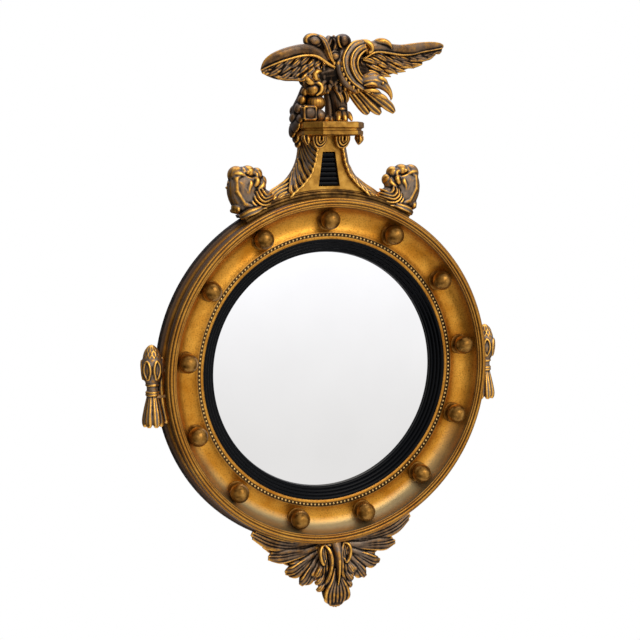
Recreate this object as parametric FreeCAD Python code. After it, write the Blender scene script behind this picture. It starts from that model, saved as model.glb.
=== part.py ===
"""Girandole mirror: a convex wall mirror in a turned, gilded ring set with balls.

The frame is built as a carver's shop builds one. A front ring carries the cove, the
balls, the bead string and the reeded rim. A back ring holds it off the wall. The
ebonised reeded slip drops in from behind and the convex glass is blocked in after it.
A crest with an eagle on a pedestal, a leaf apron and two side torches are carved
apart and fixed on.

Millimetres. The origin is the ring's centre on the wall. +Z is up, +X is the viewer's
right, and the wall is the plane y = 0, so the front of the mirror looks along -Y.
"""
import FreeCAD, Part
import math
import os

# ---------------------------------------------------------------- driving sizes
# radii of the ring's parts, from the glass outwards
sight_radius = 185.0            # visible edge of the glass
slip_width = 19.8               # ebonised reeded slip
fillet_width = 4.8              # plain gilded fillet inside the bead string
bead_band_width = 4.8           # groove that holds the bead string
cove_width = 39.6               # hollow that carries the balls
rim_width = 16.0                # reeded outer rim

# depths, measured forward from the wall
sight_depth = 11.9              # front of the slip at the glass
slip_depth = 24.0               # front of the slip at its outer edge
bead_seat_depth = 23.0          # floor of the bead string's groove
cove_floor_depth = 23.6
cove_rise = 22.4                # from the cove's floor to its outer crease
rim_depth = 53.0                # crest of the main rim bead
scotia_depth = 40.5             # front of the hollow on the ring's side
back_ring_thickness = 16.0

# glass and what holds it
glass_thickness = 3.0
glass_bulge = 14.0              # height of the convex front over the sight circle
glass_overlap = 6.0             # how far the glass lies behind the slip
slip_lip = 2.0                  # slip thickness at the glass
slip_flange = 4.3               # how far the slip reaches behind the fillet
panel_thickness = 3.0
panel_ledge = 7.0
glazing_block_count = 12
glazing_block_angle = 9.0

# applied ornament on the ring
ball_count = 13
ball_diameter = 30.0
ball_from_bead = 20.6           # ball's centre line, out from the bead string's groove
ball_seat_depth = 25.6          # floor of the seats that are bored into the cove
collar_overhang = 1.3           # how far a ball's collar stands out past the ball
collar_thickness = 2.4
spigot_diameter = 8.0
spigot_length = 7.0
pearl_count = 208
pearl_radius = 2.3
pearl_height = 3.1
strip_thickness = 1.6           # strip that the pearls stand on
slip_reed_count = 4

# crest
rail_height = 11.0              # curved rail that the crest stands on
rail_half_angle = 30.0
pedestal_height = 81.0          # from the rail to the underside of the cap
pedestal_depth = 36.0           # front board of the pedestal
pedestal_back = 1.0             # gap to the wall behind the carved parts
board_top_half_width = 18.0
cap_thickness = 20.0
cap_half_width = 50.0
cap_front_half_width = 29.0
cap_depth = 81.0
cap_corner_depth = 56.0         # depth where the canted corners begin
console_offset = 11.5           # from the middle to a console's inner side
console_width = 16.5
console_height = 22.0
panel_top_half_width = 10.2
panel_foot_half_width = 17.6
panel_lift = 4.5                # from the rail to the foot of the reeded panel
panel_height = 52.0
panel_recess = 5.0
panel_reed_count = 7
leaf_layer = 5.0                # thickness of the acanthus on the pedestal's flanks
scroll_clock = 24.07            # degrees from the top of the mirror
scroll_rise = 36.7              # from the rail to the scroll's centre
scroll_radius = 25.0

# apron and torches
apron_drop = 106.0              # from the ring's rim to the tip of the centre leaf
torch_offset = 15.0             # from the ring's rim to the torch's centre line
torch_radius = 15.5
torch_depth = 19.0
torch_top = 58.0
torch_foot = -66.0

# hanging hardware on the back
hanger_z = 104.0                # height of the hinge above the ring's centre
hanger_wire = 3.0
hanger_ring_width = 18.0
hanger_ring_drop = 20.0
strap_width = 11.0
strap_length = 29.0
strap_thickness = 1.2
pocket_width = 22.0
pocket_depth = 9.0
batten_width = 36.0
batten_thickness = 5.6

# dowels, pins and rods
cap_dowel_radius = 4.0
cap_dowel_spacing = 24.0
cap_dowel_depth = 16.0          # the two dowels' distance from the wall
cap_dowel_reach = 16.0          # length inside the pedestal
thin_dowel_radius = 2.5         # torch dowels, scroll pins and the eagle's rods
scroll_pin_length = 18.0
torch_dowel_depth = 25.0        # the torch dowels' distance from the wall
torch_dowel_root = 10.0         # length inside the ring

# screws: shank radius, length, head radius, head height
panel_screw = (1.25, 11.0, 2.4, 1.4)
batten_screw = (2.0, 19.0, 4.0, 2.4)
ring_screw = (2.25, 22.0, 4.5, 2.6)
strap_screw = (1.4, 11.0, 2.8, 1.6)

# clearances
fit_gap = 0.2                   # glued and dropped-in joints
pin_gap = 0.1                   # dowels and screws in their holes, radial
hinge_gap = 0.05                # hanger wire in its eye, radial
tip_gap = 0.4                   # holes go this much deeper than what they take

# ---------------------------------------------------------------- derived sizes
slip_edge = sight_radius + slip_width
bead_inner = slip_edge + fillet_width
bead_outer = bead_inner + bead_band_width
pearl_circle = (bead_inner + bead_outer) / 2
ball_circle_radius = bead_outer + ball_from_bead
cove_outer = bead_outer + cove_width
rim_outer = cove_outer + rim_width
back_radius = rim_outer + 3.0
back_bead_radius = back_radius + 4.0
slip_outer = slip_edge + slip_flange
rebate_radius = slip_outer + fit_gap
glass_seat = sight_depth - slip_lip
panel_rebate = rebate_radius + panel_ledge
bead_step = back_ring_thickness * 0.34
envelope_front = rim_outer + fit_gap
envelope_back = back_bead_radius + fit_gap
rail_top = back_bead_radius + rail_height - 6.0
pedestal_top = rail_top + pedestal_height
panel_foot = rail_top + panel_lift
cap_top = pedestal_top + cap_thickness
scroll_centre_x = (rail_top + scroll_rise) * math.sin(math.radians(scroll_clock))
scroll_lift = (rail_top + scroll_rise) * math.cos(math.radians(scroll_clock))
torch_centre = rim_outer + torch_offset
hanger_circle = (panel_rebate + back_radius) / 2
hanger_x = math.sqrt(hanger_circle ** 2 - hanger_z ** 2)
ball_centre_depth = ball_seat_depth + ball_diameter / 2 - 0.6


# ---------------------------------------------------------------- drawing and joining
def vec(x, y, z):
    return FreeCAD.Vector(x, y, z)


ORIGIN = vec(0, 0, 0)
FORWARD_AXIS = vec(0, 1, 0)
UP = vec(0, 0, 1)


def outline(place, start, moves):
    """The face inside a closed outline. A move of two numbers is a line to that point,
    and one of four is an arc through the first point to the second."""
    edges = []
    here = start
    for move in list(moves) + [start]:
        end = tuple(move[-2:])
        if len(move) == 4:
            edges.append(Part.Arc(place(*here), place(*move[:2]), place(*end)).toShape())
        elif math.dist(here, end) > 1e-6:
            edges.append(Part.LineSegment(place(*here), place(*end)).toShape())
        here = end
    return Part.Face(Part.Wire(edges))


def reed(a, b, height):
    """The move that draws a rounded reed from a to b, standing height off their line."""
    span = math.dist(a, b)
    lean = ((b[1] - a[1]) / span * height, (a[0] - b[0]) / span * height)
    return ((a[0] + b[0]) / 2 + lean[0], (a[1] + b[1]) / 2 + lean[1], b[0], b[1])


def reeds(a, b, count, height):
    """Moves that draw equal reeds side by side from a to b."""
    stops = [
        (a[0] + (b[0] - a[0]) * i / count, a[1] + (b[1] - a[1]) * i / count)
        for i in range(count + 1)
    ]
    return [reed(stops[i], stops[i + 1], height) for i in range(count)]


def turned(start, moves):
    """A ring or disc turned about the mirror's axis, drawn as radius and y."""
    face = outline(lambda radius, y: vec(radius, y, 0), start, moves)
    return face.revolve(ORIGIN, FORWARD_AXIS, 360)


def spun(start, moves, centre):
    """A piece turned about an upright axis through centre, drawn as radius and z."""
    face = outline(lambda radius, z: vec(radius, 0, z), start, moves)
    solid = face.revolve(ORIGIN, UP, 360)
    solid.translate(centre)
    return solid


def on_circle(radius, clock_degrees, y):
    """A point on a circle round the mirror's axis, clockwise from the top."""
    turn = math.radians(clock_degrees)
    return vec(radius * math.sin(turn), y, radius * math.cos(turn))


def rod(start, end, radius):
    span = end - start
    return Part.makeCylinder(radius, span.Length, start, span)


def block(low, high):
    return Part.makeBox(high[0] - low[0], high[1] - low[1], high[2] - low[2], vec(*low))


def oval(centre, half_u, half_v):
    """A closed oval wire round centre, with two half axes given as vectors."""
    points = []
    for i in range(12):
        turn = math.tau * i / 12
        points.append(centre + half_u * math.cos(turn) + half_v * math.sin(turn))
    curve = Part.BSplineCurve()
    curve.interpolate(points, PeriodicFlag=True)
    return Part.Wire([curve.toShape()])


def horn(stations):
    """A carved member of oval section. A station is x, y, z, its half width in the
    plane of the wall and its half depth towards the viewer. Sections stand square to
    the line through their neighbours. Where the member has curled through most of a
    right angle, the next length starts from the same section."""
    runs = []
    for i, (x, y, z, half_width, half_depth) in enumerate(stations):
        before = stations[max(i - 1, 0)]
        after = stations[min(i + 1, len(stations) - 1)]
        along = vec(after[0] - before[0], after[1] - before[1], after[2] - before[2])
        along.normalize()
        side = along.cross(FORWARD_AXIS)
        side.normalize()
        depth = side.cross(along)
        section = oval(vec(x, y, z), side * half_width, depth * half_depth)
        if not runs or along.dot(first_along) < 0.25:
            runs.append(runs[-1][-1:] if runs else [])
            first_along = last_along if len(runs) > 1 else along
        runs[-1].append(section)
        last_along = along
    lengths = [Part.makeLoft(run, True, False) for run in runs]
    return lengths[0] if len(lengths) == 1 else fused(*lengths)


def polygon(points):
    corners = [vec(*p) for p in points]
    return Part.makePolygon(corners + corners[:1])


def mirrored(shape):
    return shape.mirror(ORIGIN, vec(1, 0, 0))


def fused(first, *others):
    return first.fuse(list(others)).removeSplitter()


def cut(solid, *tools):
    return solid.cut(list(tools))


def screw(head, into, size, gap=0.0):
    """A countersunk screw from the middle of its head, pointing along into, or with a
    radial gap the hole for it."""
    shank_radius, length, head_radius, head_height = size
    end = head + into * (length + (tip_gap if gap else 0.0))
    cone = Part.makeCone(head_radius + gap, shank_radius + gap, head_height, head, into)
    return fused(cone, rod(head + into * head_height, end, shank_radius + gap))


def dowel(start, end, radius):
    """A dowel, and the hole for it with a radial gap and a little spare at each end."""
    spare = (end - start).normalize() * tip_gap
    return rod(start, end, radius), rod(start - spare, end + spare, radius + pin_gap)


nodes = {}


def keep(name, *solids):
    """Stores one node: a single solid, or like fasteners as separate solids."""
    found = [s for shape in solids for s in shape.Solids]
    nodes[name] = found[0] if len(found) == 1 else Part.makeCompound(found)


# ---------------------------------------------------------------- front ring
# turned from glued softwood: fillet, bead groove, cove, reeded rim and side hollow
cove_inner_face = -(cove_floor_depth + 4.0)
cove_lip = cove_outer + 0.4
crease_depth = cove_floor_depth + cove_rise
rim_reeds = [
    (cove_outer + 2.5, -crease_depth - 2.8),
    (cove_outer + 6.4, -crease_depth - 4.4),
    (cove_outer + 11.6, -crease_depth - 3.6),
    (cove_outer + 15.2, -crease_depth + 1.0),
]
front_ring_outline = [
    (bead_inner, -slip_depth - 1.2),
    (bead_inner, -bead_seat_depth),
    (bead_outer, -bead_seat_depth),
    (bead_outer, cove_inner_face),
    (bead_outer + 0.8, cove_inner_face),
    (bead_outer + 13.6, -cove_floor_depth, cove_outer, -crease_depth),
    (cove_lip, -crease_depth - 0.6),
    reed((cove_lip, -crease_depth - 0.6), rim_reeds[0], 1.2),
    reed(rim_reeds[0], rim_reeds[1], 1.6),
    reed(rim_reeds[1], rim_reeds[2], rim_depth - crease_depth - 4.0),
    reed(rim_reeds[2], rim_reeds[3], 1.8),
    (rim_outer, -scotia_depth - 3.0),
    (rim_outer, -scotia_depth),
    (rim_outer - 6.5, -scotia_depth + 11.5, back_radius, -back_ring_thickness),
    (rebate_radius, -back_ring_thickness),
    (rebate_radius, -slip_depth + 3.8),
    (slip_edge + fit_gap, -slip_depth + 3.8),
]
front_ring = turned((slip_edge + fit_gap, -slip_depth - 0.6), front_ring_outline)

# ---------------------------------------------------------------- back ring
# holds the front ring off the wall and takes the backboard in its rebate
shoulder = -back_ring_thickness + 2 * bead_step
back_ring = turned(
    (rebate_radius, -back_ring_thickness),
    [(back_radius, -back_ring_thickness)]
    + reeds((back_radius, -back_ring_thickness), (back_radius, shoulder), 2, bead_step / 2)
    + [
        (back_radius - 0.6, shoulder),
        (back_radius - 0.6, 0),
        (panel_rebate, 0),
        (panel_rebate, -panel_thickness - fit_gap),
        (rebate_radius, -panel_thickness - fit_gap),
    ],
)

# everything that is carved to sit round the ring is cut back to this outline
ring_envelope = turned(
    (0, 5),
    [
        (envelope_back, 5),
        (envelope_back, -back_ring_thickness - 0.3),
        (back_radius + 0.5, -back_ring_thickness - 0.3),
        (back_radius + 0.5, -back_ring_thickness - 3.6),
        (envelope_front, -back_ring_thickness - 3.6),
        (envelope_front, -rim_depth - 40),
        (0, -rim_depth - 40),
    ],
)

# ---------------------------------------------------------------- balls
ball_radius = ball_diameter / 2
collar_radius = ball_radius + collar_overhang
collar_edge = 0.9
ball_meets_collar = math.sqrt(
    ball_radius ** 2 - (ball_centre_depth - ball_seat_depth - collar_thickness) ** 2
)


def turned_ball(clock_degrees):
    """Ball, collar and spigot in one turning, standing square to the wall."""
    foot = -ball_seat_depth
    face = outline(
        lambda radius, y: vec(radius, y, 0),
        (0, foot + spigot_length),
        [
            (spigot_diameter / 2, foot + spigot_length),
            (spigot_diameter / 2, foot),
            (collar_radius, foot),
            (collar_radius, foot - collar_thickness + collar_edge),
            (collar_radius - collar_edge, foot - collar_thickness),
            (ball_meets_collar, foot - collar_thickness),
            (ball_radius, -ball_centre_depth, 0, -ball_centre_depth - ball_radius),
        ],
    )
    ball = face.revolve(ORIGIN, FORWARD_AXIS, 360)
    ball.translate(on_circle(ball_circle_radius, clock_degrees, 0))
    return ball


ball_tools = []
for i in range(ball_count):
    clock = 360.0 * i / ball_count
    keep(f"ball_{i + 1:02d}", turned_ball(clock))
    seat = on_circle(ball_circle_radius, clock, -ball_seat_depth)
    seat_front = on_circle(ball_circle_radius, clock, -rim_depth - 5)
    hole_end = on_circle(ball_circle_radius, clock, -ball_seat_depth + spigot_length + fit_gap)
    ball_tools.append(rod(seat_front, seat, collar_radius + fit_gap))
    ball_tools.append(rod(seat, hole_end, spigot_diameter / 2 + pin_gap))

# ---------------------------------------------------------------- bead string
# a strip of pearls pressed into its groove: each pearl an eight-sided dome
strip = turned(
    (bead_inner + fit_gap, -bead_seat_depth),
    [
        (bead_outer - fit_gap, -bead_seat_depth),
        (bead_outer - fit_gap, -bead_seat_depth - strip_thickness),
        (bead_inner + fit_gap, -bead_seat_depth - strip_thickness),
    ],
)
pearl_tiers = [(0.0, 0.86), (0.45, 1.0), (1.0, 0.45)]


def pearl(clock_degrees):
    """One pearl, as a ruled stack of octagons along the mirror's axis."""
    middle = on_circle(pearl_circle, clock_degrees, 0)
    base = -bead_seat_depth - strip_thickness
    rings = []
    for height, share in pearl_tiers:
        corners = []
        for k in range(8):
            turn = math.tau * (k + 0.5) / 8
            x = middle.x + pearl_radius * share * math.cos(turn)
            z = middle.z + pearl_radius * share * math.sin(turn)
            corners.append((x, base - pearl_height * height, z))
        rings.append(polygon(corners))
    return Part.makeLoft(rings, True, True)


pearls = [pearl(360.0 * i / pearl_count) for i in range(pearl_count)]
keep("bead_string", strip, *pearls)

# ---------------------------------------------------------------- slip, glass, back
slip_outline = [(sight_radius, -sight_depth)] + reeds(
    (sight_radius, -sight_depth), (slip_edge - 0.6, -slip_depth), slip_reed_count, 1.5
)
slip_outline += [
    (slip_edge, -slip_depth),
    (slip_edge, -slip_depth + 4.0),
    (slip_outer, -slip_depth + 4.0),
    (slip_outer, -glass_seat),
]
keep("reeded_slip", turned((sight_radius, -glass_seat), slip_outline))

glass_radius = sight_radius + glass_overlap
glass_sphere = (sight_radius ** 2 + glass_bulge ** 2) / (2 * glass_bulge)
glass_front = -glass_seat - glass_bulge
sphere_centre = glass_front + glass_sphere


def on_glass(radius, inset):
    """A point on the glass's front, or inset behind it, at a share of the rim's angle."""
    turn = math.asin(radius / glass_sphere)
    reach = glass_sphere - inset
    return (reach * math.sin(turn), sphere_centre - reach * math.cos(turn))


glass = turned(
    on_glass(0, 0),
    [
        on_glass(glass_radius / 2, 0) + on_glass(glass_radius, 0),
        on_glass(glass_radius, glass_thickness),
        on_glass(glass_radius / 2, glass_thickness) + on_glass(0, glass_thickness),
    ],
)
keep("mirror_glass", glass)

# rebated softwood blocks, glued round the rebate behind the edge of the glass
block_back = panel_thickness + 1.0
glass_rim_back = on_glass(glass_radius, glass_thickness)[1]
block_face = outline(
    lambda radius, y: vec(radius, y, 0),
    (glass_radius + 0.6, -glass_seat),
    [
        (slip_outer, -glass_seat),
        (slip_outer, -block_back),
        (glass_radius - 3.0, -block_back),
        (glass_radius - 3.0, glass_rim_back + 0.1),
        (glass_radius + 0.6, glass_rim_back + 0.1),
    ],
)
glazing_block = block_face.revolve(ORIGIN, FORWARD_AXIS, glazing_block_angle)
glazing_blocks = []
for i in range(glazing_block_count):
    piece = glazing_block.copy()
    piece.rotate(ORIGIN, FORWARD_AXIS, 360.0 * i / glazing_block_count)
    glazing_blocks.append(piece)
keep("glazing_blocks", *glazing_blocks)

back_panel = turned(
    (0, -panel_thickness - fit_gap),
    [
        (panel_rebate - fit_gap, -panel_thickness - fit_gap),
        (panel_rebate - fit_gap, -fit_gap),
        (0, -fit_gap),
    ],
)
panel_screw_circle = (rebate_radius + panel_rebate) / 2 - 0.2
panel_screws = []
panel_screw_holes = []
for i in range(8):
    head = on_circle(panel_screw_circle, 22.5 + 45.0 * i, -fit_gap)
    panel_screws.append(screw(head, -FORWARD_AXIS, panel_screw))
    panel_screw_holes.append(screw(head, -FORWARD_AXIS, panel_screw, pin_gap))
keep("back_panel_screws", *panel_screws)
keep("back_panel", cut(back_panel, *panel_screw_holes))

# ---------------------------------------------------------------- battens and ring screws
# one flush batten behind the crest and one behind the apron, screwed through
half_batten = batten_width / 2
batten_foot = panel_rebate + 6.0
crest_batten_top = panel_foot + panel_height
apron_batten_end = rim_outer + 0.55 * apron_drop


def batten(low, high, screw_heights):
    """A batten between two heights, its notch, and its screws with their holes."""
    bar = block((-half_batten, -batten_thickness - fit_gap, low), (half_batten, -fit_gap, high))
    notch = block(
        (-half_batten - fit_gap, -batten_thickness - fit_gap, low - fit_gap),
        (half_batten + fit_gap, 1.0, high + fit_gap),
    )
    screws = []
    holes = []
    for height in screw_heights:
        head = vec(0, -fit_gap, height)
        screws.append(screw(head, -FORWARD_AXIS, batten_screw))
        holes.append(screw(head, -FORWARD_AXIS, batten_screw, pin_gap))
    return cut(bar, *holes), notch, screws, holes


crest_batten, crest_notch, crest_screws, crest_holes = batten(
    batten_foot,
    crest_batten_top,
    (batten_foot + 26.0, rail_top - 5.0, rail_top + 22.0, crest_batten_top - 10.0),
)
apron_batten, apron_notch, apron_screws, apron_holes = batten(
    -apron_batten_end,
    -batten_foot,
    (-batten_foot - 14.0, -batten_foot - 38.0, -rim_outer - 22.0, -apron_batten_end + 10.0),
)
keep("crest_batten", crest_batten)
keep("crest_batten_screws", *crest_screws)
keep("apron_batten", apron_batten)
keep("apron_batten_screws", *apron_screws)

ring_screws = []
ring_screw_holes = []
ring_screw_circle = cove_outer - 2.0
for clock in (35, 105, 145, 215, 255, 325):
    head = on_circle(ring_screw_circle, clock, -6.0)
    ring_screws.append(screw(head, -FORWARD_AXIS, ring_screw))
    ring_screw_holes.append(screw(head, -FORWARD_AXIS, ring_screw, pin_gap))
    ring_screw_holes.append(rod(head, head + FORWARD_AXIS * 8, ring_screw[2] + 0.7))
keep("ring_screws", *ring_screws)

# ---------------------------------------------------------------- crest rail and pedestal
def sector(start, moves, half_angle):
    """Part of a turned ring, centred on the top of the mirror."""
    face = outline(lambda radius, y: vec(radius, y, 0), start, moves)
    solid = face.revolve(ORIGIN, FORWARD_AXIS, 2 * half_angle)
    solid.rotate(ORIGIN, FORWARD_AXIS, -90 - half_angle)
    return solid


rail_front = -pedestal_depth - 1.0
rail_mould = (rail_top - 3.0, rail_front)
crest_rail = sector(
    (rim_outer - 6.0, -pedestal_back),
    [
        (rail_top, -pedestal_back),
        (rail_top, rail_front + 1.5),
        reed((rail_top, rail_front + 1.5), rail_mould, -1.2),
        reed(rail_mould, (rail_top - 8.5, rail_front), -1.5),
        (rim_outer - 6.0, rail_front),
    ],
    rail_half_angle,
)

# heights above the ring's centre, half width of the front board, half width at the wall
pedestal_stations = [
    (pedestal_top, 1.00, 37.0),
    (pedestal_top - 18, 1.03, 38.5),
    (pedestal_top - 41, 1.25, 43.5),
    (pedestal_top - 59, 1.64, 54.0),
    (pedestal_top - 75, 2.40, 71.0),
    (pedestal_top - 86, 3.20, 90.0),
    (pedestal_top - 95, 3.70, 104.0),
    (pedestal_top - 106, 4.30, 113.0),
]
side_depth = 6.0                # depth of the pedestal where its flank meets the wall side


def pedestal_wires(inner, outer):
    """Sections through the pedestal between two functions of a station."""
    wires = []
    for height, share, half_width in pedestal_stations:
        board = board_top_half_width * share
        left = inner(board, half_width)
        right = outer(board, half_width)
        wires.append(polygon([(x, y, height) for x, y in left + right]))
    return wires


def block_left(board, half_width):
    wall = half_width - leaf_layer
    return [(-wall, -pedestal_back), (-wall, -side_depth), (-board, -pedestal_depth)]


def block_right(board, half_width):
    return [(-x, y) for x, y in reversed(block_left(board, half_width))]


def leaf_inner(board, half_width):
    wall = half_width - leaf_layer + fit_gap
    return [
        (wall, -pedestal_back),
        (wall, -side_depth),
        (board + fit_gap, -pedestal_depth - fit_gap),
    ]


def leaf_outer(board, half_width):
    middle = ((board + half_width) / 2 + 2.0, -(side_depth + pedestal_depth) / 2 - 4.0)
    return [
        (board + 2.0, -pedestal_depth - 5.0),
        middle,
        (half_width, -side_depth - 2.0),
        (half_width, -pedestal_back),
    ]


rail_drum = turned((0, 5), [(rail_top + fit_gap, 5), (rail_top + fit_gap, -90), (0, -90)])
pedestal_block = Part.makeLoft(pedestal_wires(block_left, block_right), True, False)
acanthus = Part.makeLoft(pedestal_wires(leaf_inner, leaf_outer), True, False)

# reeded panel, let into the board in front
panel_back = -pedestal_depth + panel_recess + 4.0
panel_face = -pedestal_depth + panel_recess
panel_top = panel_foot + panel_height


def trapezoid(gap, low_y, high_y):
    corners = [
        (-panel_foot_half_width - gap, panel_foot - gap),
        (panel_foot_half_width + gap, panel_foot - gap),
        (panel_top_half_width + gap, panel_top + gap),
        (-panel_top_half_width - gap, panel_top + gap),
    ]
    face = Part.Face(polygon([(x, low_y, z) for x, z in corners]))
    return face.extrude(vec(0, high_y - low_y, 0))


panel_side = outline(
    lambda y, z: vec(-panel_foot_half_width - 2, y, z),
    (panel_back, panel_foot),
    [(panel_face, panel_foot)]
    + reeds((panel_face, panel_foot), (panel_face, panel_top), panel_reed_count, -1.8)
    + [(panel_back, panel_top)],
)
reeded_bar = panel_side.extrude(vec(2 * panel_foot_half_width + 4, 0, 0))
keep("pedestal_panel", reeded_bar.common(trapezoid(0, -pedestal_depth - 5, panel_back)))
panel_pocket = trapezoid(fit_gap, -pedestal_depth - 5, panel_back)

# ---------------------------------------------------------------- cap of the pedestal
cant = math.hypot(cap_half_width - cap_front_half_width, cap_depth - cap_corner_depth)
cant_x = (cap_depth - cap_corner_depth) / cant
cant_y = (cap_half_width - cap_front_half_width) / cant
cant_reach = cant_x * cap_front_half_width + cant_y * cap_depth


def cap_plan(height, inset):
    """The cap's canted plan at a height, drawn in all round by inset."""
    reach = cant_reach - inset
    front = -cap_depth + inset
    side = cap_half_width - inset
    front_x = (reach + cant_y * front) / cant_x
    side_y = (cant_x * side - reach) / cant_y
    right = [(front_x, front), (side, side_y), (side, -pedestal_back)]
    left = [(-x, y) for x, y in reversed(right)]
    return polygon([(x, y, pedestal_top + height) for x, y in right + left])


cap_moulding = [
    (0.0, 3.0),
    (1.2, 1.2),
    (6.2, 1.2),
    (7.6, 3.6),
    (9.6, 3.6),
    (11.4, 0.0),
    (cap_thickness - 1.8, 0.0),
    (cap_thickness, 1.8),
]
pedestal_cap = Part.makeLoft([cap_plan(h, inset) for h, inset in cap_moulding], True, True)

# dowels that join cap and pedestal
cap_dowels = []
cap_dowel_holes = []
for x in (-cap_dowel_spacing / 2, cap_dowel_spacing / 2):
    low = vec(x, -cap_dowel_depth, pedestal_top - cap_dowel_reach)
    high = vec(x, -cap_dowel_depth, pedestal_top + cap_thickness * 0.65)
    solid, hole = dowel(low, high, cap_dowel_radius)
    cap_dowels.append(solid)
    cap_dowel_holes.append(hole)
keep("cap_dowels", *cap_dowels)

# leaf consoles under the front of the cap, and drops under its canted corners
console_front = -cap_depth + 4.5
console_top = pedestal_top - fit_gap
console_foot = pedestal_top - console_height
console_face = outline(
    lambda y, z: vec(console_offset, y, z),
    (-pedestal_depth - fit_gap, console_top),
    [
        (console_front, console_top),
        (console_front + 3.5, console_foot + 12.0, console_front + 15.5, console_foot + 10.5),
        (console_front + 28.5, console_foot + 9.0, console_front + 34.5, console_foot),
        (-pedestal_depth - fit_gap, console_foot),
    ],
)
console = console_face.extrude(vec(console_width, 0, 0))
corner_drop = horn(
    [
        (46.0, -54.0, pedestal_top + 1, 6.5, 5.0),
        (46.0, -55.0, pedestal_top - 5, 7.5, 6.0),
        (45.0, -56.0, pedestal_top - 10, 4.5, 4.0),
        (44.0, -57.0, pedestal_top - 14.5, 1.2, 1.2),
    ]
)

# ---------------------------------------------------------------- scrolls of the crest
scroll_stations = [
    (-30.0, -26.0, 6.5, 15.0),
    (-12.0, -33.0, 8.0, 17.0),
    (8.0, -28.0, 9.0, 17.5),
    (19.0, -10.0, 8.5, 17.0),
    (19.0, 9.0, 8.0, 15.5),
    (6.0, 19.0, 8.0, 14.5),
    (-10.0, 17.0, 7.5, 13.5),
    (-17.0, 5.0, 6.5, 12.0),
    (-10.0, -6.0, 5.5, 10.5),
    (0.0, -3.0, 5.0, 9.5),
]
scroll_share = scroll_radius / 25.0
scroll_y = -21.0
scroll = horn(
    [
        (scroll_centre_x + x * scroll_share, scroll_y, scroll_lift + z * scroll_share, w, d)
        for x, z, w, d in scroll_stations
    ]
)
scroll_knob = horn(
    [
        (scroll_centre_x + 8, scroll_y, scroll_lift - 34, 7, 12),
        (scroll_centre_x + 17, scroll_y, scroll_lift - 38, 6, 11),
        (scroll_centre_x + 25, scroll_y, scroll_lift - 40, 2.5, 6),
    ]
)
scroll = fused(scroll, scroll_knob)
pin_x = scroll_centre_x - 2.0
pin_foot = math.sqrt(rail_top ** 2 - pin_x ** 2) - scroll_pin_length / 3
scroll_pin, scroll_pin_hole = dowel(
    vec(pin_x, scroll_y, pin_foot),
    vec(pin_x, scroll_y, pin_foot + scroll_pin_length),
    thin_dowel_radius,
)
keep("scroll_pins", scroll_pin, mirrored(scroll_pin))
scroll = cut(scroll, rail_drum, scroll_pin_hole)


def flank_near(board, half_width):
    return [(0.0, 1.0), (0.0, -pedestal_depth - 9)]


def flank_far(board, half_width):
    return [(half_width + fit_gap, -pedestal_depth - 9), (half_width + fit_gap, 1.0)]


scroll = cut(scroll, Part.makeLoft(pedestal_wires(flank_near, flank_far), True, False))

# ---------------------------------------------------------------- eagle
# heights below are measured from the top of the cap it stands on
def perched(stations):
    return [(x, y, cap_top + z, w, d) for x, y, z, w, d in stations]


def boulder(low, high, spread, shrink):
    """A squared rock between two heights: half width and depth at foot, and its taper."""
    rings = []
    for height, share in ((low, 1.0), ((low + high) / 2, 0.96), (high, shrink)):
        (x, y), (half_x, half_y) = spread
        corners = [(-1, -0.7), (-0.5, -1), (0.7, -1), (1, -0.4), (0.8, 0.9), (-0.8, 1)]
        rings.append(
            polygon([
                (x + u * half_x * share, y + v * half_y * share, cap_top + height)
                for u, v in corners
            ])
        )
    return Part.makeLoft(rings, True, True)


eagle_rock = fused(
    boulder(0.0, 19.0, ((-26.0, -42.0), (19.0, 22.0)), 0.80),
    boulder(17.0, 33.0, ((-23.0, -42.0), (13.0, 15.0)), 0.75),
)
eagle_body = horn(
    perched([
        (-46.0, -38.0, 60.0, 7.0, 8.0),
        (-34.0, -38.0, 65.0, 16.0, 16.0),
        (-12.0, -39.0, 73.0, 24.0, 24.0),
        (14.0, -40.0, 77.0, 26.0, 26.0),
        (38.0, -41.0, 76.0, 23.0, 23.0),
        (56.0, -42.0, 74.0, 15.0, 15.0),
        (66.0, -43.0, 72.0, 6.0, 7.0),
    ])
)
back_curl = horn(
    perched([
        (18.0, -42.0, 92.0, 11.0, 11.0),
        (24.0, -43.0, 108.0, 8.5, 9.0),
        (30.0, -44.0, 122.0, 11.0, 11.0),
        (31.0, -44.0, 133.0, 5.0, 5.0),
    ])
)
middle_curl = horn(
    perched([
        (4.0, -42.0, 96.0, 7.0, 9.0),
        (3.0, -43.0, 112.0, 5.5, 7.0),
        (3.0, -43.0, 124.0, 4.0, 5.0),
    ])
)
eagle_body = fused(eagle_body, back_curl, middle_curl)
neck = horn(
    perched([
        (62.0, -46.0, 119.0, 7.0, 10.0),
        (50.0, -56.0, 115.0, 9.0, 11.0),
        (34.0, -63.0, 109.0, 10.0, 12.0),
        (24.0, -66.0, 98.0, 10.5, 12.0),
        (21.0, -67.0, 86.0, 10.5, 12.0),
        (26.0, -68.0, 71.0, 11.5, 12.0),
        (38.0, -69.0, 60.0, 13.0, 11.5),
        (54.0, -69.0, 59.0, 14.5, 11.5),
        (69.0, -69.0, 57.0, 13.0, 11.0),
        (81.0, -69.0, 50.0, 8.5, 8.0),
        (88.0, -69.0, 43.0, 5.0, 5.0),
        (90.0, -69.0, 34.5, 1.6, 1.6),
    ])
)


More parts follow.
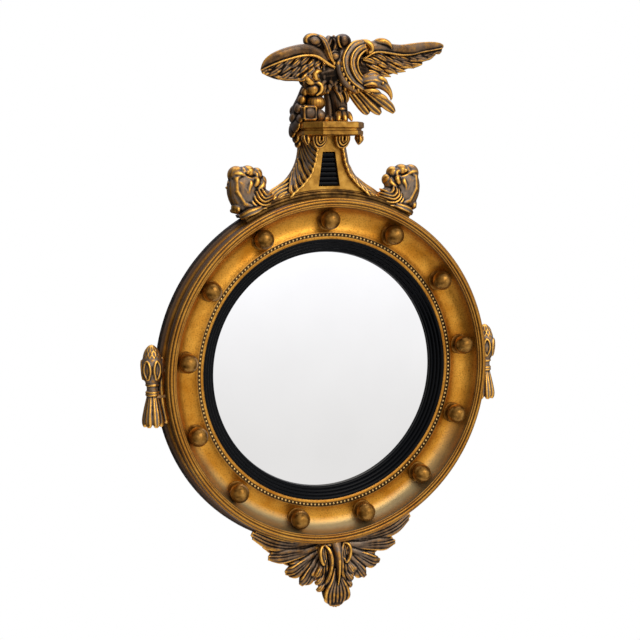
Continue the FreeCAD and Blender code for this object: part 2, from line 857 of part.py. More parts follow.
def wing(front, plan, band):
    """A wing: its front outline, cut to its plan, under a rolled leading edge."""
    curve = Part.BSplineCurve()
    points = [vec(x, 0, cap_top + z) for x, z in front]
    curve.interpolate(points, PeriodicFlag=True)
    face = Part.Face(Part.Wire([curve.toShape()]))
    face.translate(vec(0, -110, 0))
    sheet = face.extrude(vec(0, 110, 0))
    plan_curve = Part.BSplineCurve()
    plan_curve.interpolate([vec(x, y, cap_top) for x, y in plan], PeriodicFlag=True)
    plan_face = Part.Face(Part.Wire([plan_curve.toShape()]))
    sheet = sheet.common(plan_face.extrude(vec(0, 0, 160)))
    return fused(sheet, horn(perched(band)))


wing_left = wing(
    [
        (-12, 104), (-32, 110), (-56, 108), (-78, 101), (-98, 90), (-111, 79),
        (-104, 70), (-90, 65), (-71, 61), (-50, 60), (-24, 62), (-8, 80),
    ],
    [
        (-6, -52), (-40, -62), (-76, -60), (-111, -51), (-112, -45), (-76, -46),
        (-40, -44), (-6, -34),
    ],
    [
        (-27.0, -50.0, 121.0, 13.0, 12.0),
        (-32.0, -52.0, 112.0, 9.0, 11.0),
        (-48.0, -56.0, 107.0, 7.0, 9.0),
        (-72.0, -57.0, 99.0, 6.5, 8.0),
        (-95.0, -53.0, 88.0, 4.5, 6.0),
        (-112.0, -48.0, 77.0, 1.5, 2.0),
    ],
)
wing_right = wing(
    [
        (58, 116), (84, 122), (112, 119), (152, 121), (191, 124), (205, 119),
        (199, 108), (184, 99), (158, 89), (126, 78), (96, 67), (60, 74),
    ],
    [
        (50, -50), (90, -52), (144, -44), (201, -28), (203, -22), (144, -34),
        (90, -36), (50, -30),
    ],
    [
        (62.0, -42.0, 120.0, 8.0, 11.0),
        (84.0, -46.0, 122.0, 8.0, 11.0),
        (106.0, -46.0, 116.0, 6.5, 9.0),
        (144.0, -40.0, 117.0, 6.0, 7.0),
        (178.0, -33.0, 121.0, 5.0, 5.5),
        (204.0, -24.0, 123.0, 2.0, 2.5),
    ],
)

# each feather: where it leaves the body, and where its tip hangs
tail_feathers = (((28.0, -42.0, 56.0), (70.0, 13.0)), ((33.0, -45.0, 59.0), (91.0, 13.0)),
                 ((38.0, -48.0, 63.0), (113.0, 15.0)))
feathers = []
for (x0, y0, z0), (x, z) in tail_feathers:
    feathers.append(
        horn(
            perched([
                (x0, y0, z0, 7.0, 7.0),
                (x0 * 0.55 + x * 0.45, y0 - 1, z0 * 0.5 + z * 0.5, 7.5, 6.0),
                (x0 * 0.2 + x * 0.8, y0 - 3, z0 * 0.16 + z * 0.84, 7.5, 5.0),
                (x, y0 - 4, z, 2.5, 2.5),
            ])
        )
    )
eagle_tail = fused(*feathers)

leg_left = horn(
    perched([
        (-21.0, -42.0, 33.0, 9.0, 9.0),
        (-20.0, -42.0, 40.0, 8.0, 8.0),
        (-18.0, -41.0, 49.0, 10.0, 10.0),
        (-16.0, -40.0, 60.0, 11.0, 12.0),
    ])
)
leg_right = horn(
    perched([
        (17.0, -44.0, 0.0, 8.0, 10.0),
        (18.0, -44.0, 8.0, 7.5, 9.0),
        (16.0, -43.0, 22.0, 7.0, 8.0),
        (13.0, -42.0, 36.0, 10.0, 10.0),
        (11.0, -41.0, 54.0, 12.0, 13.0),
    ])
)
toes = [
    horn(
        perched([
            (18.0, -48.0, 7.0, 4.5, 4.5),
            (18.0 + reach * 0.6, -56.0, 6.5, 4.5, 4.5),
            (18.0 + reach, -62.0, 3.0, 2.5, 2.5),
        ])
    )
    for reach in (-9.0, 3.0, 14.0)
]
leg_right = cut(fused(leg_right, *toes), block((-60, -90, cap_top - 30), (60, 0, cap_top)))

# iron rods from the cap up through each leg into the body
eagle_rods = []
eagle_rod_holes = []
for x, y, top in ((-19.0, -41.0, 70.0), (14.5, -42.5, 66.0)):
    low = vec(x, y, cap_top - cap_thickness * 0.7)
    high = vec(x, y, cap_top + top)
    solid, hole = dowel(low, high, thin_dowel_radius)
    eagle_rods.append(solid)
    eagle_rod_holes.append(hole)
keep("eagle_rods", *eagle_rods)

# the body is carved to receive its neighbours, and they are cut back to its surface
keep("pedestal_cap", cut(pedestal_cap, *cap_dowel_holes, *eagle_rod_holes))
keep("eagle_rock", cut(eagle_rock, *eagle_rod_holes))
keep("eagle_head", neck)
keep("eagle_body", cut(eagle_body, neck, *eagle_rod_holes))
keep("eagle_wing_left", cut(wing_left, eagle_body, neck))
keep("eagle_wing_right", cut(wing_right, eagle_body, neck))
keep("eagle_tail", cut(eagle_tail, eagle_body, neck, leg_right))
keep("eagle_leg_left", cut(leg_left, eagle_body, eagle_rock, *eagle_rod_holes))
keep("eagle_leg_right", cut(leg_right, eagle_body, *eagle_rod_holes))

# ---------------------------------------------------------------- apron
# heights below are measured down from the edge of the rim
def hung(stations):
    return [(x, y, -rim_outer - z, w, d) for x, y, z, w, d in stations]


drop_share = apron_drop / 106.0
apron_leaf = horn(
    hung([
        (0.0, -24.0, -4.0, 17.0, 12.0),
        (0.0, -26.0, 22.0 * drop_share, 21.0, 13.0),
        (0.0, -32.0, 52.0 * drop_share, 25.0, 12.0),
        (0.0, -40.0, 78.0 * drop_share, 25.0, 10.0),
        (0.0, -46.0, 96.0 * drop_share, 18.0, 8.0),
        (0.0, -50.0, apron_drop, 5.0, 4.0),
    ])
)
spray_root = (24.0, -24.0, -2.0)
spray_tips = ((142.0, -26.0), (118.0, 7.0), (92.0, 46.0), (58.0, 70.0))
petals = []
for x, z in spray_tips:
    x0, y0, z0 = spray_root
    reach = math.dist((x0, z0), (x, z))
    broad = 8.0 + 0.10 * reach
    petals.append(
        horn(
            hung([
                (x0, y0, z0, 13.0, 9.0),
                (x0 + (x - x0) * 0.35, y0 - 3, z0 + (z - z0) * 0.35, broad, 9.0),
                (x0 + (x - x0) * 0.72, y0 - 9, z0 + (z - z0) * 0.72, broad, 7.0),
                (x0 + (x - x0) * 0.94, y0 - 14, z0 + (z - z0) * 0.94, broad * 0.6, 5.0),
                (x, y0 - 16, z, 2.5, 2.5),
            ])
        )
    )
apron_spray = fused(*petals)
wall_side = block((-400, -pedestal_back, -500), (400, 60, 600))
apron_leaf = cut(apron_leaf, ring_envelope, wall_side)
keep("apron_leaf", cut(apron_leaf, apron_notch, *apron_holes))
apron_spray = cut(apron_spray, ring_envelope, wall_side, apron_leaf)
keep("apron_spray_right", cut(apron_spray, apron_notch))
keep("apron_spray_left", cut(mirrored(apron_spray), apron_notch))

# ---------------------------------------------------------------- side torches
torch_middle = vec(torch_centre, -torch_depth, 0)
torch_head = torch_top - 44.0
torch_body = spun(
    (0, torch_top),
    [
        (torch_radius * 0.66, torch_top - 12.0, torch_radius * 0.93, torch_top - 28.0),
        (torch_radius * 1.02, torch_head, torch_radius * 0.66, torch_head - 13.0),
        (torch_radius * 0.52, torch_head - 17.0),
        (torch_radius * 0.64, torch_head - 18.0),
        (torch_radius * 0.70, torch_head - 20.0, torch_radius * 0.64, torch_head - 22.0),
        (torch_radius * 0.50, torch_head - 23.0),
        (torch_radius * 0.50, torch_head - 30.0),
        (torch_radius * 0.66, torch_head - 31.0),
        (torch_radius * 0.72, torch_head - 34.0, torch_radius * 0.66, torch_head - 37.0),
        (torch_radius * 0.46, torch_head - 38.0),
        (torch_radius * 0.40, torch_head - 50.0),
        (0, torch_head - 50.0),
    ],
    torch_middle,
)
tails = []
tail_top = torch_head - 36.0
for clock in (-90, -30, 30, 90):
    lean_x = math.sin(math.radians(clock))
    lean_y = -math.cos(math.radians(clock))
    tails.append(
        horn([
            (
                torch_centre + lean_x * torch_radius * out,
                -torch_depth + lean_y * torch_radius * out,
                tail_top + (torch_foot - tail_top) * down,
                broad,
                thick,
            )
            for out, down, broad, thick in (
                (0.20, 0.0, 4.5, 4.0),
                (0.42, 0.35, 5.0, 4.5),
                (0.72, 0.75, 6.0, 5.0),
                (0.80, 0.93, 5.0, 4.5),
                (0.82, 1.00, 1.5, 1.5),
            )
        ])
    )
torch = fused(torch_body, *tails)
torch_dowels = []
torch_dowel_holes = []
for z in (torch_head + 4.0, torch_head - 34.0):
    root = vec(rim_outer - torch_dowel_root, -torch_dowel_depth, z)
    end = vec(torch_centre, -torch_dowel_depth, z)
    solid, hole = dowel(root, end, thin_dowel_radius)
    torch_dowels.append(solid)
    torch_dowel_holes.append(hole)
mirrored_dowels = [mirrored(d) for d in torch_dowels]
mirrored_dowel_holes = [mirrored(d) for d in torch_dowel_holes]
keep("torch_dowels", *torch_dowels, *mirrored_dowels)
torch = cut(torch, ring_envelope, wall_side, *torch_dowel_holes)
keep("torch_right", torch)
keep("torch_left", mirrored(torch))

# ---------------------------------------------------------------- hangers
# two hangers in routed pockets: a folded strap screwed down, and a D shaped ring
hinge_y = -pocket_depth + 3.0
pocket_half = pocket_width / 2
pocket_low = hanger_z - strap_length + pocket_half - 4.0
pocket_high = hanger_z + hanger_ring_drop + 2.0 - pocket_half
pocket = fused(
    rod(vec(hanger_x, -pocket_depth, pocket_low), vec(hanger_x, 2, pocket_low), pocket_half),
    rod(vec(hanger_x, -pocket_depth, pocket_high), vec(hanger_x, 2, pocket_high), pocket_half),
    block(
        (hanger_x - pocket_half, -pocket_depth, pocket_low),
        (hanger_x + pocket_half, 2, pocket_high),
    ),
)
wire_radius = hanger_wire / 2
eye_radius = wire_radius + hinge_gap
half_strap = strap_width / 2
strap_foot = hanger_z - strap_length
strap = fused(
    block(
        (hanger_x - half_strap, -pocket_depth, strap_foot + half_strap),
        (hanger_x + half_strap, -pocket_depth + strap_thickness, hanger_z),
    ),
    rod(
        vec(hanger_x, -pocket_depth, strap_foot + half_strap),
        vec(hanger_x, -pocket_depth + strap_thickness, strap_foot + half_strap),
        half_strap,
    ),
    rod(
        vec(hanger_x - half_strap + 0.5, hinge_y, hanger_z),
        vec(hanger_x + half_strap - 0.5, hinge_y, hanger_z),
        eye_radius + strap_thickness,
    ),
)
eye = rod(vec(hanger_x - 9, hinge_y, hanger_z), vec(hanger_x + 9, hinge_y, hanger_z), eye_radius)
strap_heights = (hanger_z - 9.5, strap_foot + half_strap)
shank_radius, shank_length, head_radius, head_height = strap_screw
strap_screws = []
strap_holes = []
ring_pilot_holes = []
for height in strap_heights:
    under_head = vec(hanger_x, -pocket_depth + strap_thickness, height)
    tip = under_head - FORWARD_AXIS * shank_length
    head = rod(under_head, under_head + FORWARD_AXIS * head_height, head_radius)
    strap_screws.append(fused(head, rod(under_head, tip, shank_radius)))
    strap_holes.append(rod(under_head + FORWARD_AXIS, tip, shank_radius + pin_gap))
    ring_pilot_holes.append(
        rod(under_head, tip - FORWARD_AXIS * tip_gap, shank_radius + pin_gap)
    )
strap = cut(strap, eye, *strap_holes)

half_ring = hanger_ring_width / 2 - wire_radius
bow_radius = half_ring
bow_height = hanger_z - hanger_ring_drop + wire_radius + bow_radius
corner = 2.5
side_low = bow_height
side_high = hanger_z - corner


def wire_run(start, end):
    return rod(vec(start[0], hinge_y, start[1]), vec(end[0], hinge_y, end[1]), wire_radius)


def wire_bend(centre, radius, first_degrees, sweep_degrees):
    """A bend of round wire in the plane of the hanger ring."""
    turn = math.radians(first_degrees)
    direction = vec(math.cos(turn), 0, math.sin(turn))
    start = vec(centre[0], hinge_y, centre[1]) + direction * radius
    tangent = vec(-math.sin(turn), 0, math.cos(turn))
    section = Part.Face(Part.Wire(Part.makeCircle(wire_radius, start, tangent)))
    return section.revolve(vec(centre[0], hinge_y, centre[1]), vec(0, -1, 0), sweep_degrees)


hanger_ring = fused(
    wire_run((hanger_x - half_ring + corner, hanger_z), (hanger_x + half_ring - corner, hanger_z)),
    wire_bend((hanger_x + half_ring - corner, side_high), corner, 0, 90),
    wire_run((hanger_x + half_ring, side_low), (hanger_x + half_ring, side_high)),
    wire_bend((hanger_x, bow_height), bow_radius, 180, 180),
    wire_run((hanger_x - half_ring, side_low), (hanger_x - half_ring, side_high)),
    wire_bend((hanger_x - half_ring + corner, side_high), corner, 90, 90),
)
keep("hanger_strap_right", strap)
keep("hanger_strap_left", mirrored(strap))
keep("hanger_ring_right", hanger_ring)
keep("hanger_ring_left", mirrored(hanger_ring))
keep("hanger_screws", *strap_screws, *[mirrored(s) for s in strap_screws])

# ---------------------------------------------------------------- cuts that join the parts
left_pilots = [mirrored(h) for h in ring_pilot_holes]
all_dowel_holes = torch_dowel_holes + mirrored_dowel_holes
front_ring = cut(front_ring, *ball_tools)
front_ring = cut(
    front_ring,
    *ring_screw_holes,
    *crest_holes,
    *apron_holes,
    *all_dowel_holes,
    *ring_pilot_holes,
    *left_pilots,
)
keep("front_ring", front_ring)
back_ring = cut(back_ring, pocket, mirrored(pocket), crest_notch, apron_notch)
back_ring = cut(
    back_ring,
    *ring_screw_holes,
    *crest_holes,
    *apron_holes,
    *panel_screw_holes,
    *ring_pilot_holes,
    *left_pilots,
)
keep("back_ring", back_ring)
left_pin_hole = mirrored(scroll_pin_hole)
keep(
    "crest_rail",
    cut(crest_rail, ring_envelope, crest_notch, *crest_holes, scroll_pin_hole, left_pin_hole),
)
pedestal_block = cut(pedestal_block, rail_drum, crest_notch, *crest_holes, *cap_dowel_holes)
keep("pedestal_block", cut(pedestal_block, panel_pocket))
acanthus = cut(acanthus, rail_drum)
keep("acanthus_right", acanthus)
keep("acanthus_left", mirrored(acanthus))
console = cut(console, acanthus, pedestal_block)
keep("console_right", console)
keep("console_left", mirrored(console))
cap_foot = block((-80, -cap_depth, pedestal_top), (80, 0, cap_top))
corner_drop = cut(corner_drop, acanthus, cap_foot)
keep("corner_drop_right", corner_drop)
keep("corner_drop_left", mirrored(corner_drop))
keep("scroll_right", scroll)
keep("scroll_left", mirrored(scroll))

# ---------------------------------------------------------------- files
os.makedirs("parts", exist_ok=True)
for name, shape in sorted(nodes.items()):
    shape.exportStep(f"parts/{name}.step")
print(f"{len(nodes)} nodes, {sum(len(s.Solids) for s in nodes.values())} solids")
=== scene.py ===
"""Girandole mirror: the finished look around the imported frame.

Sizes are written in millimetres and turned to metres when a mesh is made. The origin is
the ring's centre on the wall, +Z is up, +X the viewer's right, and the mirror faces -Y.
"""
from math import asin, atan2, cos, dist, hypot, pi, radians, sin, sqrt, tau
import bmesh
import bpy
import numpy as np
from mathutils import Matrix, Vector


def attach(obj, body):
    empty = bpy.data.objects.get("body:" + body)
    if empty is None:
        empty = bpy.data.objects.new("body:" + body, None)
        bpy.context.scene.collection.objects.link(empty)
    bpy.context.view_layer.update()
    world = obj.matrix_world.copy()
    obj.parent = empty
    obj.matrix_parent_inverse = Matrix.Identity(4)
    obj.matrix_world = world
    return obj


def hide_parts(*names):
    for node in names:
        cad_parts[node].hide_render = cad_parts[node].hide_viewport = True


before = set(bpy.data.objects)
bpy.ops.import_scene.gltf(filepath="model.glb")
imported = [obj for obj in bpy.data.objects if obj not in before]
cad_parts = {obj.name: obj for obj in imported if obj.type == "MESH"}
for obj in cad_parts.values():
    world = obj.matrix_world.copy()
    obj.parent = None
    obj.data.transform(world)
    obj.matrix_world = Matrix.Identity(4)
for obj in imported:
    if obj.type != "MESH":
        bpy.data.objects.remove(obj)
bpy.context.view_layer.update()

# -------------------------------- camera
# The photograph was taken from the left of the mirror and a little above its centre,
# with a long lens and the camera very slightly tilted.
scene = bpy.context.scene
view_turn = radians(-23.49)
view_lift = radians(6.24)
view_tilt = radians(-0.62)
camera_place = (-0.85902, -1.9712, 0.31208)
lens = bpy.data.cameras.new("photograph_lens")
lens.sensor_width = 36
lens.lens = 77.49
camera = bpy.data.objects.new("photograph_camera", lens)
camera.matrix_world = (
    Matrix.Translation(camera_place) @ Matrix.Rotation(view_turn, 4, "Z")
    @ Matrix.Rotation(radians(90) - view_lift, 4, "X") @ Matrix.Rotation(view_tilt, 4, "Z")
)
scene.collection.objects.link(camera)
scene.camera = camera
scene.view_settings.view_transform = "Standard"

# -------------------------------- light and floor
# A photographer's table top: white all round for the camera, and a dim room for the
# gilding to reflect, with a big soft box in front, a small bright one higher up, and
# weak light from the left and from overhead.


def linear(code):
    """Scene linear colour of a hex code, with alpha."""
    parts = [int(code[i:i + 2], 16) / 255 for i in (0, 2, 4)]
    return [c / 12.92 if c <= 0.04045 else ((c + 0.055) / 1.055) ** 2.4 for c in parts] + [1]


def add(tree, kind, inputs=None, **settings):
    """Adds a shader node, with its settings, its values and its links."""
    node = tree.nodes.new("ShaderNode" + kind)
    for name, value in settings.items():
        setattr(node, name, value)
    for name, value in (inputs or {}).items():
        if isinstance(value, bpy.types.NodeSocket):
            tree.links.new(value, node.inputs[name])
        else:
            node.inputs[name].default_value = value
    return node


def remap(tree, value, low, high, start=0, end=1, **settings):
    """Spreads a value's way from low to high over the way from start to end."""
    return add(tree, "MapRange", {
        "Value": value, "From Min": low, "From Max": high, "To Min": start, "To Max": end,
    }, **settings).outputs["Result"]


def smooth(tree, *values):
    """Like remap, with both ends eased."""
    return remap(tree, *values, interpolation_type="SMOOTHSTEP")


def blend(tree, factor, a, b, **settings):
    """Blends colour a towards colour b. Each is a socket or a hex code."""
    a, b = (linear(value) if isinstance(value, str) else value for value in (a, b))
    return add(
        tree, "Mix", {"Factor": factor, "A": a, "B": b}, data_type="RGBA", **settings
    ).outputs["Result"]


def blank(name):
    """A new material, its empty node tree, and the place of a spot on its body."""
    material = bpy.data.materials.new(name)
    material.use_nodes = True
    tree = material.node_tree
    tree.nodes.clear()
    return material, tree, add(tree, "TexCoord").outputs["Object"]


def distance_from(tree, here, axes):
    """How far a spot lies from the line that the other axes leave."""
    flat = add(tree, "VectorMath", {0: here, 1: axes}, operation="MULTIPLY")
    length = add(tree, "VectorMath", {0: flat.outputs[0]}, operation="LENGTH")
    return length.outputs["Value"]


room = bpy.data.worlds.new("studio")
room.use_nodes = True
tree = room.node_tree
tree.nodes.clear()
direction = add(tree, "TexCoord").outputs["Generated"]
split = add(tree, "SeparateXYZ", {"Vector": direction})
walls = blend(tree, smooth(tree, split.outputs["Z"], -0.5, 0.9), "3A322A", "C9CAD4")
shadow_side = smooth(tree, split.outputs["X"], -0.97, -0.45, 0.08, 1)
shaded = add(tree, "VectorMath", {0: walls, "Scale": shadow_side}, operation="SCALE")
light = shaded.outputs["Vector"]
# each soft light: where it stands as a direction, cosines where it fades in and is full
for place, low, high, strength, tint in (
    ((0.38, -0.92, -0.04), 0.5, 0.8, 0.8, "FFFFFF"),
    ((0.24, -0.82, 0.52), 0.945, 0.992, 3.4, "FFF6E6"),
    ((-0.74, -0.66, 0.12), 0.8, 0.97, 0.4, "FFF2E0"),
    ((0.18, 0.25, 0.95), 0.8, 0.96, 1.7, "E9EAFF"),
):
    facing = add(tree, "VectorMath", {
        0: direction, 1: Vector(place).normalized(),
    }, operation="DOT_PRODUCT")
    glow = smooth(tree, facing.outputs["Value"], low, high, 0, strength)
    light = blend(tree, glow, light, tint, clamp_factor=False, blend_type="ADD")
dim = add(tree, "Background", {"Color": light, "Strength": 1.0})
white = add(tree, "Background", {"Color": linear("FFFFFF"), "Strength": 1.0})
seen = add(tree, "LightPath")
mixed = add(tree, "MixShader", {
    0: seen.outputs["Is Camera Ray"], 1: dim.outputs[0], 2: white.outputs[0],
})
add(tree, "OutputWorld", {"Surface": mixed.outputs[0]})
scene.world = room

floor_level, floor_radius = -1.65, 2.4
bm = bmesh.new()
bmesh.ops.create_circle(bm, cap_ends=True, segments=96, radius=floor_radius)
bmesh.ops.translate(bm, verts=bm.verts, vec=(0, 0, floor_level))
floor_mesh = bpy.data.meshes.new("floor")
bm.to_mesh(floor_mesh)
floor = bpy.data.objects.new("floor", floor_mesh)
scene.collection.objects.link(floor)
# Pale matt paint. It takes the light but melts away before the disc's edge is seen.
pale, tree, here = blank("pale_matt_paint")
fade = smooth(tree, distance_from(tree, here, (1, 1, 0)), 1.2, 2.3)
matt = add(tree, "BsdfDiffuse", {"Color": linear("EDEBE7")})
gone = add(tree, "BsdfTransparent")
melt = add(tree, "MixShader", {0: fade, 1: matt.outputs[0], 2: gone.outputs[0]})
add(tree, "OutputMaterial", {"Surface": melt.outputs[0]})
floor_mesh.materials.append(pale)

# -------------------------------- front ring
# The main ring is turned softwood under gesso and leaf: a fillet, the groove for the
# bead string, a wide cove, a rim of four beads and a dark hollow on its outer side.
MM = 0.001


def arc(start, through, end, steps):
    """Points along the arc from start to end, without start."""
    (ax, ay), (bx, by), (cx, cy) = start, through, end
    d = 2 * (ax * (by - cy) + bx * (cy - ay) + cx * (ay - by))
    a2, b2, c2 = ax * ax + ay * ay, bx * bx + by * by, cx * cx + cy * cy
    ux = (a2 * (by - cy) + b2 * (cy - ay) + c2 * (ay - by)) / d
    uy = (a2 * (cx - bx) + b2 * (ax - cx) + c2 * (bx - ax)) / d
    radius = hypot(ax - ux, ay - uy)
    turns = [atan2(y - uy, x - ux) for x, y in (start, through, end)]
    sweep = (turns[2] - turns[0]) % tau
    if (turns[1] - turns[0]) % tau > sweep:
        sweep -= tau
    return [
        (ux + radius * cos(turns[0] + sweep * i / steps),
         uy + radius * sin(turns[0] + sweep * i / steps))
        for i in range(1, steps + 1)
    ]


def reed(a, b, height, steps):
    """A rounded bead from a to b, standing height off their line."""
    span = dist(a, b)
    middle = (
        (a[0] + b[0]) / 2 + (b[1] - a[1]) / span * height,
        (a[1] + b[1]) / 2 - (b[0] - a[0]) / span * height,
    )
    return arc(a, middle, b, steps)


def turning(points, steps=288, centre=(0, 0, 0), axis=(0, 1, 0), closed=True):
    """A bmesh turned from points of radius and distance along the axis, in millimetres."""
    bm = bmesh.new()
    radial = Vector((1, 0, 0))
    verts = [
        bm.verts.new((radial * r + Vector(axis) * d + Vector(centre)) * MM) for r, d in points
    ]
    ends = verts[1:] + (verts[:1] if closed else [])
    edges = [bm.edges.new(pair) for pair in zip(verts, ends)]
    bmesh.ops.spin(
        bm, geom=verts + edges, cent=Vector(centre) * MM, axis=axis,
        angle=tau, steps=steps, use_merge=True,
    )
    bmesh.ops.remove_doubles(bm, verts=bm.verts, dist=1e-6)
    bmesh.ops.recalc_face_normals(bm, faces=bm.faces)
    return bm


def piece(name, bm, material, node, sharp=38):
    """Makes the finished object of a bmesh, on the frame's body, in place of its node."""
    for edge in bm.edges:
        edge.smooth = edge.is_manifold and edge.calc_face_angle(0) < radians(sharp)
    for face in bm.faces:
        face.smooth = True
    mesh = bpy.data.meshes.new(name)
    bm.to_mesh(mesh)
    bm.free()
    mesh.materials.append(material)
    made = bpy.data.objects.new(name, mesh)
    scene.collection.objects.link(made)
    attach(made, "frame")
    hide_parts(node)


def noise(tree, here, scale, detail, roughness=0.5):
    """Clouds from 0 to 1. A scale of 100 makes them about 10 mm wide."""
    return add(tree, "TexNoise", {
        "Vector": here, "Scale": scale, "Detail": detail, "Roughness": roughness,
    }).outputs["Fac"]


def ramp(tree, value, *pairs):
    """A colour ramp of stops, each a position and a hex code or a grey level."""
    node = add(tree, "ValToRGB", {"Fac": value})
    elements = node.color_ramp.elements
    while len(elements) < len(pairs):
        elements.new(0.5)
    for element, (position, tone) in zip(elements, pairs):
        element.position = position
        element.color = linear(tone) if isinstance(tone, str) else (tone, tone, tone, 1)
    return node.outputs["Color"]


def combine(tree, operation, a, b):
    """One sum or product."""
    return add(tree, "Math", {0: a, 1: b}, operation=operation).outputs[0]


def surface(tree, color, roughness, metallic=0, bump=None, specular=0.5):
    """Ends a material. The bump is a height, its distance in metres and its strength."""
    inputs = {
        "Base Color": color, "Roughness": roughness, "Metallic": metallic,
        "Specular IOR Level": specular,
    }
    if bump:
        relief = add(tree, "Bump", dict(zip(("Height", "Distance", "Strength"), bump)))
        inputs["Normal"] = relief.outputs[0]
    skin = add(tree, "BsdfPrincipled", inputs)
    add(tree, "OutputMaterial", {"Surface": skin.outputs[0]})


# Gold leaf, burnished on the ring, then toned with a brown glaze that stays in the creases,
# with painted shade deepening it there and a painted pale sheen of the overhead light low
# in the cove. The eye sees warm yellow gold, brown lines beside each bead and fine specks.
ring_gold, tree, here = blank("toned_gold_leaf_painted_shade_and_sheen")
band = remap(tree, distance_from(tree, here, (1, 0, 1)), 0.2, 0.28)
# crease lines of glaze and painted shade at these radii, as shares of the way from 200 to 280 mm
glaze_and_shade = ramp(
    tree, band, (0.055, 0.75), (0.085, 0.05), (0.11, 0.15), (0.122, 1), (0.178, 0.95),
    (0.2, 0.1), (0.3, 0), (0.6, 0.03), (0.668, 0.35), (0.682, 0.95), (0.696, 0.1),
    (0.71, 0.9), (0.726, 0.15), (0.74, 0.45), (0.757, 0.98), (0.774, 0.4), (0.788, 0.05),
    (0.802, 0.4), (0.821, 0.98), (0.838, 0.15), (0.85, 0.5), (0.872, 1), (0.93, 1),
)
specks = noise(tree, here, 420, 4, 0.7)
clouds = noise(tree, here, 26, 3, 0.6)
leaf = blend(tree, ramp(tree, clouds, (0.3, 0), (0.72, 1)), "B87418", "E2A440")
worn = blend(tree, ramp(tree, specks, (0.3, 0.75), (0.5, 0)), leaf, "6A420E")
# painted sheen: low on the ring the cove's wall is paled towards grey gold, a painted reflection of
# the overhead light
height = add(tree, "SeparateXYZ", {"Vector": here}).outputs["Z"]
low = remap(tree, height, -0.07, -0.2, 0, 0.8)
cove_wall = ramp(tree, band, (0.4, 0), (0.54, 1), (0.678, 1), (0.69, 0))
with_painted_sheen = blend(tree, combine(tree, "MULTIPLY", low, cove_wall), worn, "A99B72")
surface(
    tree, blend(tree, combine(tree, "MULTIPLY", glaze_and_shade, 0.92), with_painted_sheen, "2A1808"),
    remap(tree, clouds, 0, 1, 0.3, 0.44), remap(tree, glaze_and_shade, 0, 1, 0.92, 0.25),
    (specks, 0.0004, 0.5),
)

bead_inner, bead_outer, cove_outer, rim_outer, back_radius = 209.6, 214.4, 254, 270, 273.0
crease = -46.0
lip = (cove_outer + 0.4, crease - 0.6)
rim = [lip, (256.5, crease - 2.8), (260.4, crease - 4.4), (265.6, crease - 3.6),
       (269.2, crease + 1)]
profile = [(205, -24.6)]
profile += reed((205, -24.6), (bead_inner, -25.2), 0.5, 4)
profile += [(bead_inner, -23), (bead_outer, -23), (bead_outer, -27.6), (bead_outer + 0.8, -27.6)]
profile += arc((bead_outer + 0.8, -27.6), (bead_outer + 13.6, -23.6), (cove_outer, crease), 26)
profile += [lip]
for (a, b), height in zip(zip(rim, rim[1:]), (1.2, 1.6, 3, 1.8)):
    profile += reed(a, b, height, 8)
profile += [(rim_outer, -43.5), (rim_outer, -40.5)]
profile += arc((rim_outer, -40.5), (rim_outer - 6.5, -29), (back_radius, -16), 16)
profile += [(209.3, -16), (209.3, -20.2), (205, -20.2)]
piece("gilt_front_ring", turning(profile), ring_gold, "front_ring")

# -------------------------------- bead string
# Pressed composition pearls on a strip, glued into the groove inside the cove and
# gilded. Their fronts are painted pale as a highlight, and painted shade darkens each foot.
pearl_gold, tree, here = blank("gold_pearls_painted_light_and_shade")
front_depth = add(tree, "SeparateXYZ", {"Vector": here}).outputs["Y"]
foot_shade = remap(tree, front_depth, -0.027, -0.0245)
# pale front is a painted highlight; the near black foot and strip are painted shade
pearl_tone = ramp(tree, foot_shade, (0, "E7C27A"), (0.45, "B98A3C"), (1, "1C1208"))
surface(tree, pearl_tone, 0.38, 0.7)

pearl_count, pearl_radius, pearl_circle, pearl_depth = 208, 2.1, 212, -25.2
bm = turning([(209.8, -23), (209.8, -24.6), (214.2, -24.6), (214.2, -23)], steps=pearl_count)
for i in range(pearl_count):
    turn = tau * i / pearl_count
    spot = Vector((pearl_circle * sin(turn), pearl_depth, pearl_circle * cos(turn)))
    bmesh.ops.create_uvsphere(
        bm, u_segments=8, v_segments=5, radius=pearl_radius * MM,
        matrix=Matrix.Translation(spot * MM),
    )
piece("pearl_string", bm, pearl_gold, "bead_string", sharp=80)

# -------------------------------- slip and glass
# A turned slip of four reeds, ebonised and waxed to a satin black, holds a glass that was
# bent to a dome and silvered behind. The reeds show only as faint lines of light.
ebony, tree, here = blank("ebonised_and_waxed_wood")
pores = noise(tree, here, 300, 3)
surface(
    tree, ramp(tree, pores, (0.35, "020305"), (0.75, "06080C")),
    remap(tree, pores, 0, 1, 0.16, 0.24), 0, (pores, 0.0001, 0.3), specular=0.09,
)

sight_radius, glass_front = 185, -9.9
slip_edge, slip_outer, slip_front, step_back = 204.8, 209.1, -24, -20.0
reed_count = 4
profile = [(sight_radius, glass_front), (sight_radius, -11.9)]
ends = [
    (np.interp(i, (0, reed_count), (sight_radius, slip_edge - 0.6)),
     np.interp(i, (0, reed_count), (-11.9, slip_front)))
    for i in range(reed_count + 1)
]
for a, b in zip(ends, ends[1:]):
    profile += reed(a, b, 1.5, 9)
profile += [
    (slip_edge, slip_front), (slip_edge, step_back), (slip_outer, step_back),
    (slip_outer, glass_front),
]
piece("reeded_black_slip", turning(profile), ebony, "reeded_slip")

# Silver behind glass. The eye sees the pale room, a trace darker in wide veils.
silvered, tree, here = blank("silvered_convex_glass")
silver_tone = ramp(tree, noise(tree, here, 9, 2), (0.2, "F3F3F3"), (0.8, "F8F8F8"))
surface(tree, silver_tone, 0.02, 1)

